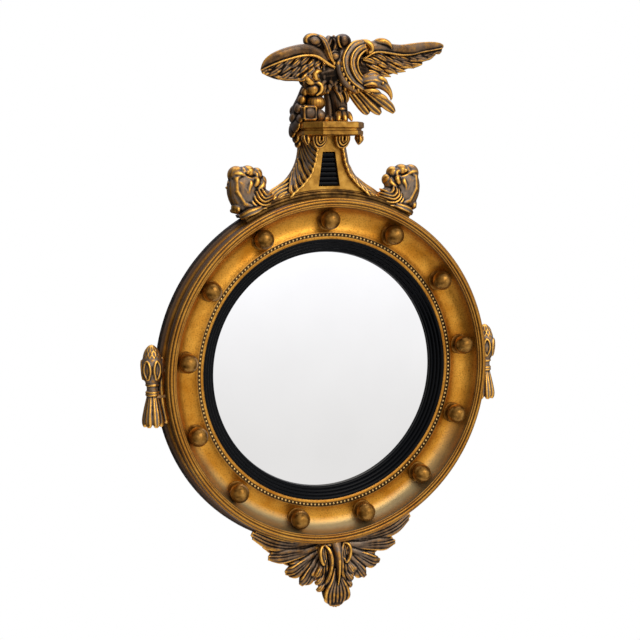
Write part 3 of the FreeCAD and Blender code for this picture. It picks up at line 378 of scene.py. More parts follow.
glass_rise, glass_thickness, glass_radius, steps = 14, 3, 191, 40
sphere_radius = (sight_radius ** 2 + glass_rise ** 2) / (2 * glass_rise)
sphere_centre = glass_front - glass_rise + sphere_radius
dome = [asin(glass_radius / sphere_radius) * i / steps for i in range(steps + 1)]
profile = [
    (radius * sin(t), sphere_centre - radius * cos(t))
    for radius, turns in (
        (sphere_radius, dome), (sphere_radius - glass_thickness, dome[::-1]),
    )
    for t in turns
]
piece("convex_glass", turning(profile, closed=False), silvered, "mirror_glass")

# -------------------------------- balls, back ring, boards
# Thirteen turned balls are toned darker than the cove they sit in. The back ring is
# almost black with dull gold in clouds. Behind is bare softwood.


def finish_nodes(material, *names):
    """Gives CAD nodes a finish of their own."""
    for name in names:
        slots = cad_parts[name].data.materials
        slots.clear()
        slots.append(material)


def clouded(name, scale, detail, roughness, tones, gloss, metallic, bump=None):
    """A finish in clouds: stops of tone, the gloss over them, and the bump they leave."""
    material, tree, here = blank(name)
    clouds = noise(tree, here, scale, detail, roughness)
    surface(
        tree, ramp(tree, clouds, *tones), remap(tree, clouds, 0, 1, *gloss), metallic,
        bump and (clouds, *bump),
    )
    return material


# Leaf toned with bitumen: bronze, mottled at 10 mm, with small soft highlights.
finish_nodes(clouded(
    "darkened_gold_balls", 110, 4, 0.6, ((0.3, "5E4012"), (0.52, "96692A"), (0.74, "BC8E46")),
    (0.26, 0.4), 0.85, (0.0004, 0.25),
), *[f"ball_{i:02d}" for i in range(1, 14)])
# Bronze paint over bole, rubbed: near black, with dull gold streaks.
finish_nodes(clouded(
    "rubbed_dark_bronze", 60, 5, 0.65, ((0.35, "100B06"), (0.55, "2A1B0B"), (0.75, "644418")),
    (0.42, 0.42), 0.55,
), "back_ring")

# Bare planed pine: straight grain along the height, hardly darker than the wood.
pine, tree, here = blank("planed_pine")
along = add(tree, "Mapping", {"Vector": here, "Scale": (60, 60, 3)}).outputs[0]
rings = add(tree, "TexWave", {
    "Vector": along, "Scale": 0.35, "Distortion": 12, "Detail": 3,
}, bands_direction="X").outputs["Fac"]
grain = combine(tree, "MULTIPLY", noise(tree, along, 4, 5), rings)
pine_tone = ramp(tree, grain, (0.05, "C39A64"), (0.35, "B98C54"), (0.7, "A67A46"))
surface(tree, pine_tone, 0.62, 0, (grain, 0.0002, 0.12))
finish_nodes(
    pine, "back_panel", "glazing_blocks", "crest_batten", "apron_batten",
    "cap_dowels", "torch_dowels", "scroll_pins",
)

# Worn hardware: two tones of metal mottled at 2 mm, with an uneven gloss.
for name, dark, bright, rough, nodes in (
    ("dull_cast_brass", "7E6330", "B8934E", 0.34,
     ("hanger_strap_left", "hanger_strap_right", "hanger_ring_left", "hanger_ring_right")),
    ("plain_turned_steel", "6E6E6E", "9A9A98", 0.36,
     ("back_panel_screws", "ring_screws", "crest_batten_screws", "apron_batten_screws",
      "hanger_screws")),
    ("forged_iron_rod", "2A2826", "4A4642", 0.5, ("eagle_rods",)),
):
    tones = (0.3, dark), (0.7, bright)
    finish_nodes(clouded(name, 500, 3, 0.5, tones, (rough - 0.06, rough + 0.08), 1), *nodes)

# -------------------------------- rail, board and cap
# The flat parts of the crest are gilded like the ring but rubbed more, so brown clay
# shows through in clouds. The panel is reeded across and ebonised like the slip.
for name, tones, nodes in (
    ("glazed_gold_rail", ("2E1E0C", "543A18", "7C5826", "A87C3A"), ("crest_rail",)),
    ("rubbed_gold_board", ("6E4A1A", "A4742C", "C8943E", "E4B45E"),
     ("pedestal_block", "pedestal_cap")),
):
    finish_nodes(clouded(
        name, 55, 6, 0.62, tuple(zip((0.28, 0.44, 0.58, 0.76), tones)), (0.46, 0.3), 0.85,
        (0.0004, 0.2),
    ), *nodes)
finish_nodes(ebony, "pedestal_panel")

# -------------------------------- eagle
# Carved in limewood in several pieces and glued. The carver works with ribbed, tapering
# cuts; the gilder's dark glaze, deepened by painted shade, and grey wax stay low, faces that
# look up get a painted grey sheen of the overhead light, and handling bares the ridges.
carved_gold, tree, here = blank("glazed_gold_carving_painted_shade_and_sheen")
hollow_and_shade = add(tree, "Attribute", attribute_name="recess_and_shade").outputs["Fac"]
sheen_facing_up = add(tree, "Attribute", attribute_name="up_facing_sheen").outputs["Fac"]
clouds = noise(tree, here, 120, 6, 0.65)
broad = noise(tree, here, 30, 3)
# Deep spots run to near black, partly glaze and partly painted shade in the hollows.
depth_and_shade = combine(tree, "ADD", hollow_and_shade, remap(tree, clouds, 0, 1, -0.26, 0.26))
gold_and_painted_shade = ramp(
    tree, depth_and_shade,
    (0.14, "F4B856"), (0.27, "B98232"), (0.4, "73502A"), (0.52, "3C2814"), (0.68, "100904"),
)
wax_place = ramp(tree, depth_and_shade, (0.24, 0), (0.38, 0.9), (0.5, 0.7), (0.64, 0.05))
# Spots facing up take more grey, partly wax and partly a painted sheen of the overhead light.
wax_and_sheen_share = ramp(tree, combine(tree, "ADD", sheen_facing_up, broad), (0.4, 0.05), (0.84, 0.85))
wax_and_sheen = combine(tree, "MULTIPLY", wax_place, wax_and_sheen_share)
surface(
    tree, blend(tree, wax_and_sheen, gold_and_painted_shade, "85786A"), remap(tree, depth_and_shade, 0, 1, 0.26, 0.56),
    remap(tree, wax_and_sheen, 0, 1, 0.9, 0.25), (clouds, 0.0006, 0.4),
)


def cut_member(bm, stations, ribs=(0, 0), face=(0, -1, 0), per=5, flat=1):
    """Adds one closed member: an oval section swept smoothly through the stations, with
    ribs, a number and a depth, on the side that looks along face. A low flat squares it."""
    knots = np.array(stations, float)
    knots = np.vstack([2 * knots[0] - knots[1], knots, 2 * knots[-1] - knots[-2]])
    rows = []
    for a, b, c, d in zip(knots, knots[1:], knots[2:], knots[3:]):
        for t in np.arange(per) / per:
            rows.append((
                2 * b + (c - a) * t + (2 * a - 5 * b + 4 * c - d) * t ** 2
                + (3 * b - a - 3 * c + d) * t ** 3
            ) / 2)
    rows = np.array(rows + [knots[-2]])
    middle, size = rows[:, :3], rows[:, 3:].clip(0.2)
    ahead = np.gradient(middle, axis=0)
    side = np.cross(ahead, face)
    side /= np.linalg.norm(side, axis=1, keepdims=True) + 1e-9
    rise = np.cross(side, ahead)
    rise /= np.linalg.norm(rise, axis=1, keepdims=True) + 1e-9
    middle = np.vstack([middle[:1], middle, middle[-1:]])
    side = np.vstack([side[:1], side, side[-1:]])
    rise = np.vstack([rise[:1], rise, rise[-1:]])
    size = np.vstack([size[:1] * 0, size, size[-1:] * 0])
    count, groove = ribs
    sides = max(18, 6 * count + 10)
    turn = np.linspace(0, tau, sides + 1)
    across, out = np.cos(turn), np.sin(turn)
    notch = groove * np.abs(np.cos(pi * count * (across + 1) / 2)) ** 3
    out = np.sign(out) * np.abs(out) ** flat
    out = np.where(out > 0, out * (1 - notch), out)
    shape = (
        middle[:, None] + side[:, None] * (size[:, :1] * across)[..., None]
        + rise[:, None] * (size[:, 1:] * out)[..., None]
    ) * MM
    sheet = bmesh.new()
    bmesh.ops.create_grid(sheet, x_segments=sides, y_segments=len(middle) - 1, size=1)
    for vert, place in zip(sheet.verts, shape.reshape(-1, 3)):
        vert.co = place
    bmesh.ops.remove_doubles(sheet, verts=sheet.verts, dist=1e-7)
    bmesh.ops.recalc_face_normals(sheet, faces=sheet.faces)
    step = bpy.data.meshes.new("member")
    sheet.to_mesh(step)
    sheet.free()
    bm.from_mesh(step)
    bpy.data.meshes.remove(step)


def stroke(bm, points, y, width, depth, **cut):
    """Adds a member along points of x and z. The others are numbers, or runs of numbers
    that are spread along the points: y, half width and half depth."""
    share = np.linspace(0, 1, len(points))
    x, z = np.array(points, float).T
    y, width, depth = (
        np.interp(share, np.linspace(0, 1, np.size(run)), np.atleast_1d(run))
        for run in (y, width, depth)
    )
    cut_member(bm, np.column_stack([x, y, z, width, depth]), **cut)


def swell(bm, x, y, z, half_x, half_y, half_z, lean=0):
    """Adds a rounded mass, with its foot and crown set apart by the lean."""
    cut_member(bm, [
        (x + lean * t, y, z + half_z * t, half_x * sqrt(1 - t * t) + 0.3,
         half_y * sqrt(1 - t * t) + 0.3)
        for t in (-1, -0.92, -0.65, -0.25, 0.25, 0.65, 0.92, 1)
    ])


def cut_flat(bm, place, away):
    """Saws off what lies beyond a plane, and closes the cut."""
    bmesh.ops.bisect_plane(
        bm, geom=bm.verts[:] + bm.edges[:] + bm.faces[:], plane_co=place, plane_no=away,
        clear_outer=True,
    )
    bmesh.ops.holes_fill(bm, edges=[e for e in bm.edges if e.is_boundary], sides=0)


def rows_of(items, what, width, kind=float):
    """One property of a mesh's vertices or edges, a row for each."""
    values = np.empty(len(items) * width, kind)
    items.foreach_get(what, values)
    return values.reshape(-1, width)


def carve(name, bm, voxel=0.8, ease=2, glaze_and_shade=0, wax_and_sheen=0, mirror=False):
    """Melts the members into one carved skin, and marks how deep each spot lies and how far it
    faces up, with painted shade and a painted sheen added for the piece.
    """
    if mirror:
        bmesh.ops.scale(bm, verts=bm.verts, vec=(-1, 1, 1))
        bmesh.ops.reverse_faces(bm, faces=bm.faces)
    raw = bpy.data.meshes.new(name + "_raw")
    bm.to_mesh(raw)
    bm.free()
    made = bpy.data.objects.new(name, raw)
    scene.collection.objects.link(made)
    melt = made.modifiers.new("melt", "REMESH")
    melt.mode = "VOXEL"
    melt.voxel_size = voxel * MM
    melt.use_smooth_shade = True
    ready = made.evaluated_get(bpy.context.evaluated_depsgraph_get())
    mesh = bpy.data.meshes.new_from_object(ready)
    made.modifiers.clear()
    made.data = mesh
    mesh.name = name
    bpy.data.meshes.remove(raw)
    count = len(mesh.vertices)
    places = rows_of(mesh.vertices, "co", 3)
    pairs = rows_of(mesh.edges, "vertices", 2, int)
    a, b = np.concatenate([pairs, pairs[:, ::-1]]).T
    links = np.bincount(a, minlength=count).clip(1)[:, None]

    def eased(points, rounds):
        for _ in range(rounds):
            mean = np.column_stack([np.bincount(a, points[b, k], count) for k in range(3)]) / links
            points = points * 0.4 + mean * 0.6
        return points

    places = eased(places, ease)
    mesh.vertices.foreach_set("co", places.ravel())
    mesh.update()
    normals = rows_of(mesh.vertices, "normal", 3)
    near = eased(places, 10)
    far = eased(near, 30)
    fine = ((near - places) * normals).sum(1) / (0.22 * MM)
    wide = ((far - places) * normals).sum(1) / (0.9 * MM)
    # How deep each spot lies, plus the piece's bias: the dark it brings is partly glaze and partly
    # painted shade, in hollows and on whole pieces that sit in shade.
    recess_and_shade = 0.46 + glaze_and_shade + 0.16 * np.clip(fine, -1, 1) + 0.26 * np.clip(wide, -1.4, 1.4)
    # How far each spot faces up, plus the piece's bias: the grey it brings is a painted sheen of
    # the overhead light.
    up_facing_sheen = wax_and_sheen + 0.45 * normals[:, 2]
    for layer_name, values in (("recess_and_shade", recess_and_shade), ("up_facing_sheen", up_facing_sheen)):
        layer = mesh.attributes.new(layer_name, "FLOAT", "POINT")
        layer.data.foreach_set("value", values.clip(0, 1))
    mesh.materials.clear()
    mesh.materials.append(carved_gold)
    mesh.polygons.foreach_set("use_smooth", np.ones(len(mesh.polygons), bool))
    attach(made, "frame")
    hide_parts(name)


def ring_of(x, y, z, radius, width, depth, squash=1):
    """Stations round a closed loop in the plane of the wall."""
    return [
        (x + radius * cos(t), y, z + radius * squash * sin(t), width, depth)
        for t in np.linspace(0, tau * 1.1, 12)
    ]


def feather_rows(bm, edge, hem, y_edge, counts, width, depth, lead=0.15):
    """Rows of overlapping feathers between a wing's edge line and its hem line."""
    reach = 0.44

    def spot(line, s):
        line = np.array(line, float)
        place = np.linspace(0, 1, len(line))
        return np.array([np.interp(s, place, line[:, 0]), np.interp(s, place, line[:, 1])])

    for row, count in enumerate(counts):
        for i in range(count):
            s = (i + 0.5 * (row % 2)) / count
            level = row * (1 - reach) / max(1, len(counts) - 1)
            start = spot(edge, s) * (1 - level) + spot(hem, s) * level
            t = min(1, s + lead)
            level += reach
            tip = spot(edge, t) * (1 - level) + spot(hem, t) * level
            bend = (start + tip) / 2 + np.array((0, 1.6 * (-1) ** (i + row)))
            y = np.interp(s, [0, 1], y_edge) + 0.5 * row
            stroke(
                bm, [start, bend, tip], [y + 2, y, y + 1.8], [width * 0.5, width, 0.9],
                [depth * 0.6, depth, 0.8], ribs=(2, 0.35), per=4,
            )


# body, with the ruff of curls between the wings, under short rough breast feathers
bm = bmesh.new()
cut_member(bm, [
    (-46, -38, 443, 7, 8), (-34, -38, 448, 15, 14), (-12, -39, 454, 21, 21),
    (14, -40, 457, 24, 22), (38, -41, 456, 22, 20), (56, -42, 455, 14, 14), (66, -43, 453, 6, 7),
])
for row, z in enumerate((466, 459, 452, 445, 439, 434)):
    for i in range(10):
        x = -36 + i * 9.5 + (row % 2) * 4.5 + 2.5 * sin(7.0 * i + 3.0 * row)
        bulge = 1 - ((x - 8) / 60) ** 2 - ((z - 454) / 30) ** 2
        if bulge > 0.08:
            y = -39.5 - 19 * sqrt(bulge)
            lean = 3.0 * sin(3.1 * i + 1.7 * row)
            cut_member(bm, [
                (x - 1, y + 1, z + 6, 2, 1.5), (x, y, z, 3.6, 2.2),
                (x + lean, y + 0.4, z - 5, 3.2, 2), (x + lean + 1, y + 1, z - 9, 1, 1.2),
            ], per=3)
stroke(
    bm, [(18, 503), (17, 495), (13, 485), (8, 473), (7, 460), (11, 448), (20, 437), (36, 427)],
    [-48, -50, -54, -57, -60, -62, -62], [12, 10, 8.5, 7.5, 7, 6, 5, 3], [9, 9, 8, 7, 6, 5, 3],
)
swell(bm, 18, -50, 503.5, 13.2, 10.5, 11.5)
swell(bm, 17, -58, 503, 6.4, 4, 8, lean=1.5)
stroke(
    bm, [(9, 511), (7, 504), (9, 496), (14, 492)], [-56, -59, -58], [1.5, 2.4, 2.2, 1], [2, 3, 2],
)
for points, width in (
    ([(-2, 509), (-7, 502), (-11, 492), (-8, 481), (-1, 470)], [5, 6.5, 6, 5.5, 3]),
    ([(2, 510), (6, 502), (4, 494), (0, 486)], [4.5, 5.5, 4.5, 3]),
):
    stroke(bm, points, [-47, -52, -54, -55], width, [5, 6.5, 6, 5, 3], ribs=(2, 0.2))
cut_member(bm, [(0, -44, 506, 9, 8), (1, -44, 490, 15, 10), (2, -44, 474, 18, 13)])
swell(bm, 2, -57.5, 480, 6.6, 6, 6.2)
cut_member(bm, ring_of(2, -57, 480, 8, 1.6, 2.4))
# The whole body is darkened: painted shade under the wings.
carve("eagle_body", bm, glaze_and_shade=0.22)

# neck and head: a hollow C of two flat steps with raised lips, ending in the hooked head
bm = bmesh.new()
stroke(
    bm, [(50, 501), (36, 498), (24, 489), (17.5, 476), (18, 461), (26, 447), (39, 436), (55, 430)],
    [-54, -58, -61, -62], [6, 6.8, 7, 7, 6.8, 6.4, 5.6, 4], [8, 9, 9, 8, 7], flat=0.55,
)
stroke(
    bm, [(50, 495), (39, 491), (30, 482), (26, 471), (28, 459), (36, 448), (48, 439)],
    [-58, -63, -66, -66], [4, 4.6, 4.6, 4.6, 4.4, 4, 2.5], [7, 8, 8, 7, 5], flat=0.55,
)
for points, y, width in (
    ([(48, 505), (33, 503), (20, 493), (12, 479), (12, 464), (18, 450), (31, 438), (48, 429),
      (60, 426)], [-58, -64, -67, -67, -66], 1.7),
    ([(51, 499), (37, 494), (26, 484), (22, 472), (24, 459), (33, 446), (47, 436)],
     [-61, -68, -71, -71, -68], 1.6),
    ([(54, 492), (44, 487), (35, 479), (32, 469), (35, 459), (43, 450)], [-62, -69, -72, -71, -68],
     1.6),
):
    stroke(bm, points, y, [1, width, width, width, 1], [2, 3, 3, 3, 1.5])
stroke(
    bm, [(46, 504), (54, 502), (60, 497), (61, 490), (56, 486)], [-56, -60, -60], [3, 5, 5, 4, 2],
    [5, 7, 6, 3],
)
cut_member(bm, [
    (42, -62, 443, 8, 8), (50, -65, 444, 11.5, 11), (62, -67, 444.5, 12, 11.5),
    (73, -68, 441, 9.5, 9.5), (81, -69, 434.5, 6.5, 7), (87, -69, 427.5, 4.2, 5),
    (90, -69, 420, 2.2, 2.8), (89, -69, 415, 0.6, 0.8),
], ribs=(3, 0.1))
for points, lift, width in (
    ([(42, 449), (52, 454), (62, 455), (71, 451)], -69, 2.4),
    ([(43, 437), (52, 440), (60, 439), (66, 435)], -75.6, 2.4),
    ([(44, 430), (54, 430), (64, 429), (72, 426)], -73, 2.8),
):
    stroke(
        bm, points, [lift + 4, lift, lift, lift + 3], [1, width, width, 1], [1.5, 2.4, 2.4, 1.2],
    )
stroke(
    bm, [(60, 447), (68, 448), (76, 445), (83, 438)], [-73, -77, -77, -73], [1.5, 3, 2.6, 1],
    [1.5, 2.6, 2, 1],
)
cut_member(bm, [(70, -76, 443.2, 0.8, 1), (72, -77.4, 440.8, 2.3, 1.8), (74, -76, 439, 0.8, 1)])
stroke(
    bm, [(58, 428), (68, 424), (78, 420), (84, 416.5)], [-67, -70, -70], [4.5, 4, 3, 1],
    [5, 4, 3, 1],
)
for row, (x, z) in enumerate(((9, 470), (9, 462), (11, 454), (15, 447), (20, 441), (27, 435),
                              (35, 431))):
    for i in range(3):
        stroke(
            bm, [(x + 4 - i * 5, z + 4), (x + 1 - i * 5, z),
                 (x + 2 - i * 5.5, z - 5 - (row + i) % 2)],
            [-60 + i * 2.5, -65 + i * 3.5, -62 + i * 3], [1, 2.6, 1], [1.5, 3, 1.5], per=3,
        )
carve("eagle_head", bm, voxel=0.7, glaze_and_shade=-0.05, wax_and_sheen=0.3)

# left wing: a smooth band over rows of feathers, and a volute at its shoulder
bm = bmesh.new()
stroke(
    bm, [(-115, 458.5), (-108, 468), (-98, 475.5), (-83, 482), (-66, 486.5), (-50, 489),
         (-36, 488), (-22, 482), (-8, 471)], [-50, -53, -56, -57, -56, -54, -50],
    [1, 5, 6.8, 7.4, 8, 8.6, 8.6, 7.5, 6], [1, 3.5, 5.5, 6, 6, 6, 5], flat=0.7,
)
lip_line = [(-116, 457.5), (-102, 464.5), (-87, 470.5), (-71, 475.5), (-57, 479), (-42, 480.5),
            (-30, 479), (-20, 474), (-10, 468), (0, 464)]
stroke(
    bm, lip_line, [-52, -59, -63, -64, -63, -60], [0.8, 1.4, 1.6, 1.7, 1.8, 2.2, 2.6, 2],
    [1, 2.2, 2.4, 2.4, 3],
)
stroke(
    bm, [(-113, 459), (-98, 464), (-76, 469), (-50, 472), (-16, 472)], [-46, -45, -44, -43],
    [2, 8, 13, 17, 19], [1.5, 5, 6, 7, 8],
)
stroke(
    bm, [(-106, 454), (-88, 453), (-68, 454), (-46, 457), (-20, 459)], [-46, -44, -43, -42],
    [3, 7.5, 10, 14, 17], [2, 5, 6, 7, 8],
)
hem_line = [(-113, 457), (-102, 450), (-88, 445), (-71, 444), (-57, 443), (-46, 442), (-36, 439),
            (-26, 438), (-16, 440), (-8, 442)]
feather_rows(bm, lip_line[::-1], hem_line[::-1], (-54, -52), (10, 9, 8), 4.6, 3)
stroke(
    bm, [(-98, 453), (-80, 447), (-62, 446.5), (-46, 444.5)], [-49, -50, -50], [2, 3.4, 3.4, 2],
    [2, 4, 4, 2], ribs=(2, 0.2),
)
cut_member(bm, [
    (-46, -50, 503, 4, 5), (-40, -51, 503.5, 9.5, 8), (-30, -51, 503.5, 10.8, 9),
    (-20, -50, 501, 10, 8), (-10, -49, 490, 9, 8), (-4, -48, 476, 7, 7),
])
cut_member(bm, ring_of(-32, -54.5, 503, 12, 3.2, 4, squash=0.66))
swell(bm, -31, -56.5, 502.5, 9.4, 5.6, 6.6, lean=1)
stroke(
    bm, [(-24, 510), (-17, 504), (-12, 495), (-7, 482), (0, 470)], [-56, -58, -59, -57],
    [3, 5, 4.8, 4.2, 2], [4, 5, 4, 3], ribs=(2, 0.2),
)
carve("eagle_wing_left", bm, voxel=0.75, glaze_and_shade=0.1)

# right wing: longer, swept back to the wall, with stepped flight feathers at the tip
bm = bmesh.new()
stroke(
    bm, [(54, 490), (66, 495), (80, 498), (98, 495.5), (120, 494.5), (142, 497), (160, 500),
         (178, 502.5), (194, 503.5), (203, 503)], [-50, -50, -49, -46, -42, -37, -33, -29, -26],
    [8, 9.5, 9.5, 7.4, 7.6, 8.2, 7.6, 6.6, 5, 2.6], [7, 8, 8, 6, 5.5, 5, 4, 3, 2], flat=0.7,
)
edge_line = [(52, 478), (64, 486), (77, 489), (97, 488), (119, 486), (139, 487.5), (159, 492),
             (179, 495.5), (200, 499.5)]
stroke(
    bm, edge_line, [-54, -57, -55, -51, -47, -42, -38, -34, -30],
    [1.6, 1.8, 1.8, 1.8, 1.7, 1.6, 1.5, 1.4, 1], [2.5, 2.6, 2.4, 2.2, 1.6],
)
stroke(
    bm, [(66, 500), (76, 504.5), (86, 504.5), (94, 501), (99, 496)], [-50, -54, -55, -51],
    [3, 5, 5, 3.5, 1.5], [3, 6, 6, 4],
)
stroke(
    bm, [(50, 470), (84, 471), (112, 474), (144, 481), (172, 489), (192, 495)],
    [-40, -38, -34, -29, -24, -21], [19, 19, 15, 12, 7.5, 3], [7, 6, 5, 4, 3, 2],
)
cut_member(bm, [
    (38, -38, 496, 8, 5), (44, -38, 482, 14, 7), (48, -38, 466, 15, 7), (50, -38, 450, 12, 6),
])
low_line = [(60, 448), (76, 448), (96, 451), (110, 455), (126, 460), (144, 466), (161, 473),
            (176, 482), (190, 491), (201, 498)]
feather_rows(bm, edge_line, low_line, (-50, -26), (12, 11, 10), 4.4, 2.8, lead=0.17)
for x, z in ((163, 474), (182, 484), (196, 494)):
    y = -34 + (x - 163) * 0.18
    stroke(
        bm, [(x - 26, z + 3), (x - 10, z + 3), (x, z)], [y, y + 2], [2, 4, 2], [1.5, 2.4, 1],
        ribs=(2, 0.3),
    )
carve("eagle_wing_right", bm, glaze_and_shade=0.05)

# tail: three veined lobes
bm = bmesh.new()
for points, y in (
    ([(26, 440), (35, 427), (49, 411), (58, 401), (63, 396)], -46),
    ([(32, 442), (48, 426), (66, 409), (76, 401), (82, 396)], -49),
    ([(40, 442), (64, 427), (86, 413), (97, 405), (104, 398)], -52),
):
    stroke(
        bm, points, [y + 2, y, y, y + 1], [5, 7, 8.4, 7.4, 3.5], [5, 5, 5, 4, 2],
        ribs=(4, 0.28),
    )
    stroke(
        bm, points, [y - 2, y - 4, y - 4, y - 2.5], [1.5, 1.8, 1.8, 1.4, 0.5],
        [1.5, 1.5, 1.5, 1.2, 0.5],
    )
carve("eagle_tail", bm, voxel=0.7, glaze_and_shade=-0.04)

# legs: a curled thigh and a smooth calf on the rock, and a clawed foot on the cap
bm = bmesh.new()
cut_member(bm, [
    (-34, -40, 452, 9, 10), (-30, -42, 443, 14, 13), (-26, -43, 432, 12.5, 11),
    (-23, -44, 424, 10, 9),
])
swell(bm, -23, -42, 412, 14.2, 12.5, 12)
stroke(
    bm, [(-19, 458), (-26, 458), (-31, 453), (-29, 447), (-23, 446)], [-54, -58, -58, -55],
    [2, 3.6, 4, 3.4, 1.4], [3, 4, 3.6, 2],
)
stroke(
    bm, [(-44, 452), (-42, 446), (-36, 441), (-28, 440)], [-48, -53, -54, -52], [2, 4.6, 4.4, 1.6],
    [3, 4.4, 4, 2],
)
swell(bm, -30, -47, 431, 10.5, 9, 10, lean=-1)
swell(bm, -17, -47, 431, 7.5, 8, 9.5, lean=1)
stroke(
    bm, [(-35, 440), (-26, 441), (-20, 436), (-21, 428), (-28, 422)], [-52, -55, -56, -54],
    [2, 3.2, 3.4, 3, 1.4], [2.4, 3, 3, 2],
)
carve("eagle_leg_left", bm, voxel=0.7)

bm = bmesh.new()
cut_member(bm, [
    (10, -38, 442, 13, 13), (14, -40, 428, 12.5, 12), (16, -42, 413, 11.5, 11),
    (17, -43, 401, 11, 10), (17, -43, 391, 11.5, 11), (16, -43, 384.4, 12, 12),
])
cut_member(bm, [
    (3, -30, 442, 10, 10), (4, -28, 424, 8, 8), (5, -28, 404, 7, 8), (5, -28, 384.4, 9, 10),
])
stroke(
    bm, [(4, 436), (10, 427), (15, 416), (15, 407)], [-47, -51, -52, -50], [2.4, 4, 3.6, 1.2],
    [2, 3, 2.6, 1], ribs=(2, 0.3),
)
stroke(
    bm, [(14, 437), (21, 428), (24, 418), (21, 409)], [-49, -52, -52, -50], [2.4, 4, 3.6, 1.2],
    [2, 3, 2.6, 1], ribs=(2, 0.3),
)
swell(bm, 16, -50, 402, 6, 4.4, 4.6)
for x0, x1 in ((12, 5), (17, 16), (22, 26)):
    cut_member(bm, [
        (x0, -48, 396, 4.4, 3.5), (x0 + (x1 - x0) * 0.45, -54, 395.5, 5, 4.2),
        (x0 + (x1 - x0) * 0.8, -59, 391, 4, 3.8), (x1, -62, 386, 2.6, 2.4),
        (x1, -62, 383.8, 1, 0.8),
    ], face=(0, -0.6, 0.8))
carve("eagle_leg_right", bm, voxel=0.7, glaze_and_shade=0.08)

# rock: squared blocks under the left foot, the front one cut as a sunk frame
bm = bmesh.new()
cut_member(bm, [
    (-43, -22, 383.4, 13, 16), (-43, -23, 392, 14, 16), (-42, -24, 404, 12, 14),
    (-38, -27, 418, 10, 11), (-34, -30, 432, 9, 9), (-32, -32, 444, 5, 6),
])
for x, y, z, half in ((-52, -26, 391, 6), (-48, -33, 404, 6.5), (-44, -36, 416, 6),
                      (-50, -18, 401, 6), (-40, -38, 428, 5)):
    swell(bm, x, y, z, half, half + 1, half + 2, lean=2)
cut_member(bm, [
    (-26, -37, 383.4, 21, 17), (-26, -37, 390, 20, 16), (-25, -38, 397, 15, 13),
    (-24, -39, 404, 9, 10),
])
x, z, half = -38.5, 396, 9.0
for a, b in (((-1, -1), (1, -1)), ((1, -1), (1, 1)), ((1, 1), (-1, 1)), ((-1, 1), (-1, -1))):
    cut_member(bm, [
        (x + a[0] * half, -50, z + a[1] * half, 3.4, 7),
        (x + (a[0] + b[0]) * half / 2, -50, z + (a[1] + b[1]) * half / 2, 3.2, 7),
        (x + b[0] * half, -50, z + b[1] * half, 3.4, 7),
    ], flat=0.7)
cut_member(bm, [
    (x, -48, z - half, half, 8), (x, -50, z, half, 8.5), (x, -48, z + half, half, 8),
], flat=0.4)
swell(bm, -21, -50, 392, 9, 9, 10, lean=-3)
swell(bm, -12, -50, 387, 8, 8, 6.5, lean=-2)
swell(bm, -4, -48, 386, 7, 8, 7)
cut_flat(bm, (0, 0, 383.1 * MM), (0, 0, -1))
for x, y, z, half_y, half_z in ((-51, -20, 390, 15, 8), (-52, -30, 379, 16, 11),
                                (-51.5, -16, 372, 12, 12), (-50, -42, 388, 10, 7),
                                (-46, -16, 361, 11, 9), (-42, -14, 352, 9, 7)):
    swell(bm, x, y, z, 4, half_y, half_z, lean=1.2)
carve("eagle_rock", bm, voxel=0.7, glaze_and_shade=0.1)

# -------------------------------- crest carvings
# Acanthus leaves clothe the pedestal's flanks and run out into curled scroll ends.
# Each is carved from its block: long soft leaflets that fall to tips on the front edge.
flank_heights = [257, 268, 277, 288, 304, 322, 345, 363]
flank_boards = [77.4, 66.6, 57.6, 43.2, 29.5, 22.5, 18.5, 18]
flank_walls = [113, 104, 90, 71, 54, 43.5, 38.5, 37]


def block_of(node):
    """A bmesh of a merged CAD node, the block that the carver starts from."""
    block = bmesh.new()
    block.from_mesh(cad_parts[node].data)
    bmesh.ops.remove_doubles(block, verts=block.verts, dist=1e-6)
    return block


def on_flank(z, share, proud):
    """A spot on the right flank: share 0 at the front board's edge, 1 at the wall side."""
    board = np.interp(z, flank_heights, flank_boards)
    wall = np.interp(z, flank_heights, flank_walls)
    x = np.interp(share, [0, 0.5, 1], [board + 2, (board + wall) / 2 + 2, wall])
    y = np.interp(share, [0, 0.5, 1], [-41, -25, -8])
    return x + proud * 0.6, y - proud * 0.8, z


for name in ("right", "left"):
    bm = block_of("acanthus_right")
    for k, foot in enumerate((350, 342, 334, 326, 318, 310, 302, 295, 288, 281, 275)):
        stations = []
        for t in np.linspace(0, 1, 7):
            rise = (48 if foot > 300 else 34) * (1 - t) ** 1.25
            if foot + rise > 361:
                continue
            share = 0.96 * (1 - t) ** 0.85 - 0.05 * t
            width = np.interp(t, [0, 0.3, 0.8, 1], [1.2, 3.4, 3.8, 2.4])
            depth = np.interp(t, [0, 0.4, 1], [1.2, 2.4, 2.6])
            stations.append((*on_flank(foot + rise, share, 0.5), width, depth))
        stations.append((*on_flank(foot - 5, -0.08 - 0.02 * (k % 2), 0.8), 1, 1.2))
        cut_member(bm, stations, ribs=(2, 0.3), face=(0.6, -0.8, 0), per=4)
    for share, top in ((0.9, 300), (0.7, 292), (0.5, 285), (0.32, 279)):
        heights = np.linspace(top, 266, 6)
        bends, widths = (0, 0.03, 0.05, 0.05, 0.02, 0), (0.8, 2.6, 3.4, 3.4, 2.8, 1)
        cut_member(bm, [
            (*on_flank(z, share + bend, 0.8), width, 2.2)
            for z, bend, width in zip(heights, bends, widths)
        ], ribs=(2, 0.3), face=(0.6, -0.8, 0))
    carve(f"acanthus_{name}", bm, glaze_and_shade=-0.05, wax_and_sheen=0.3, mirror=name == "left")

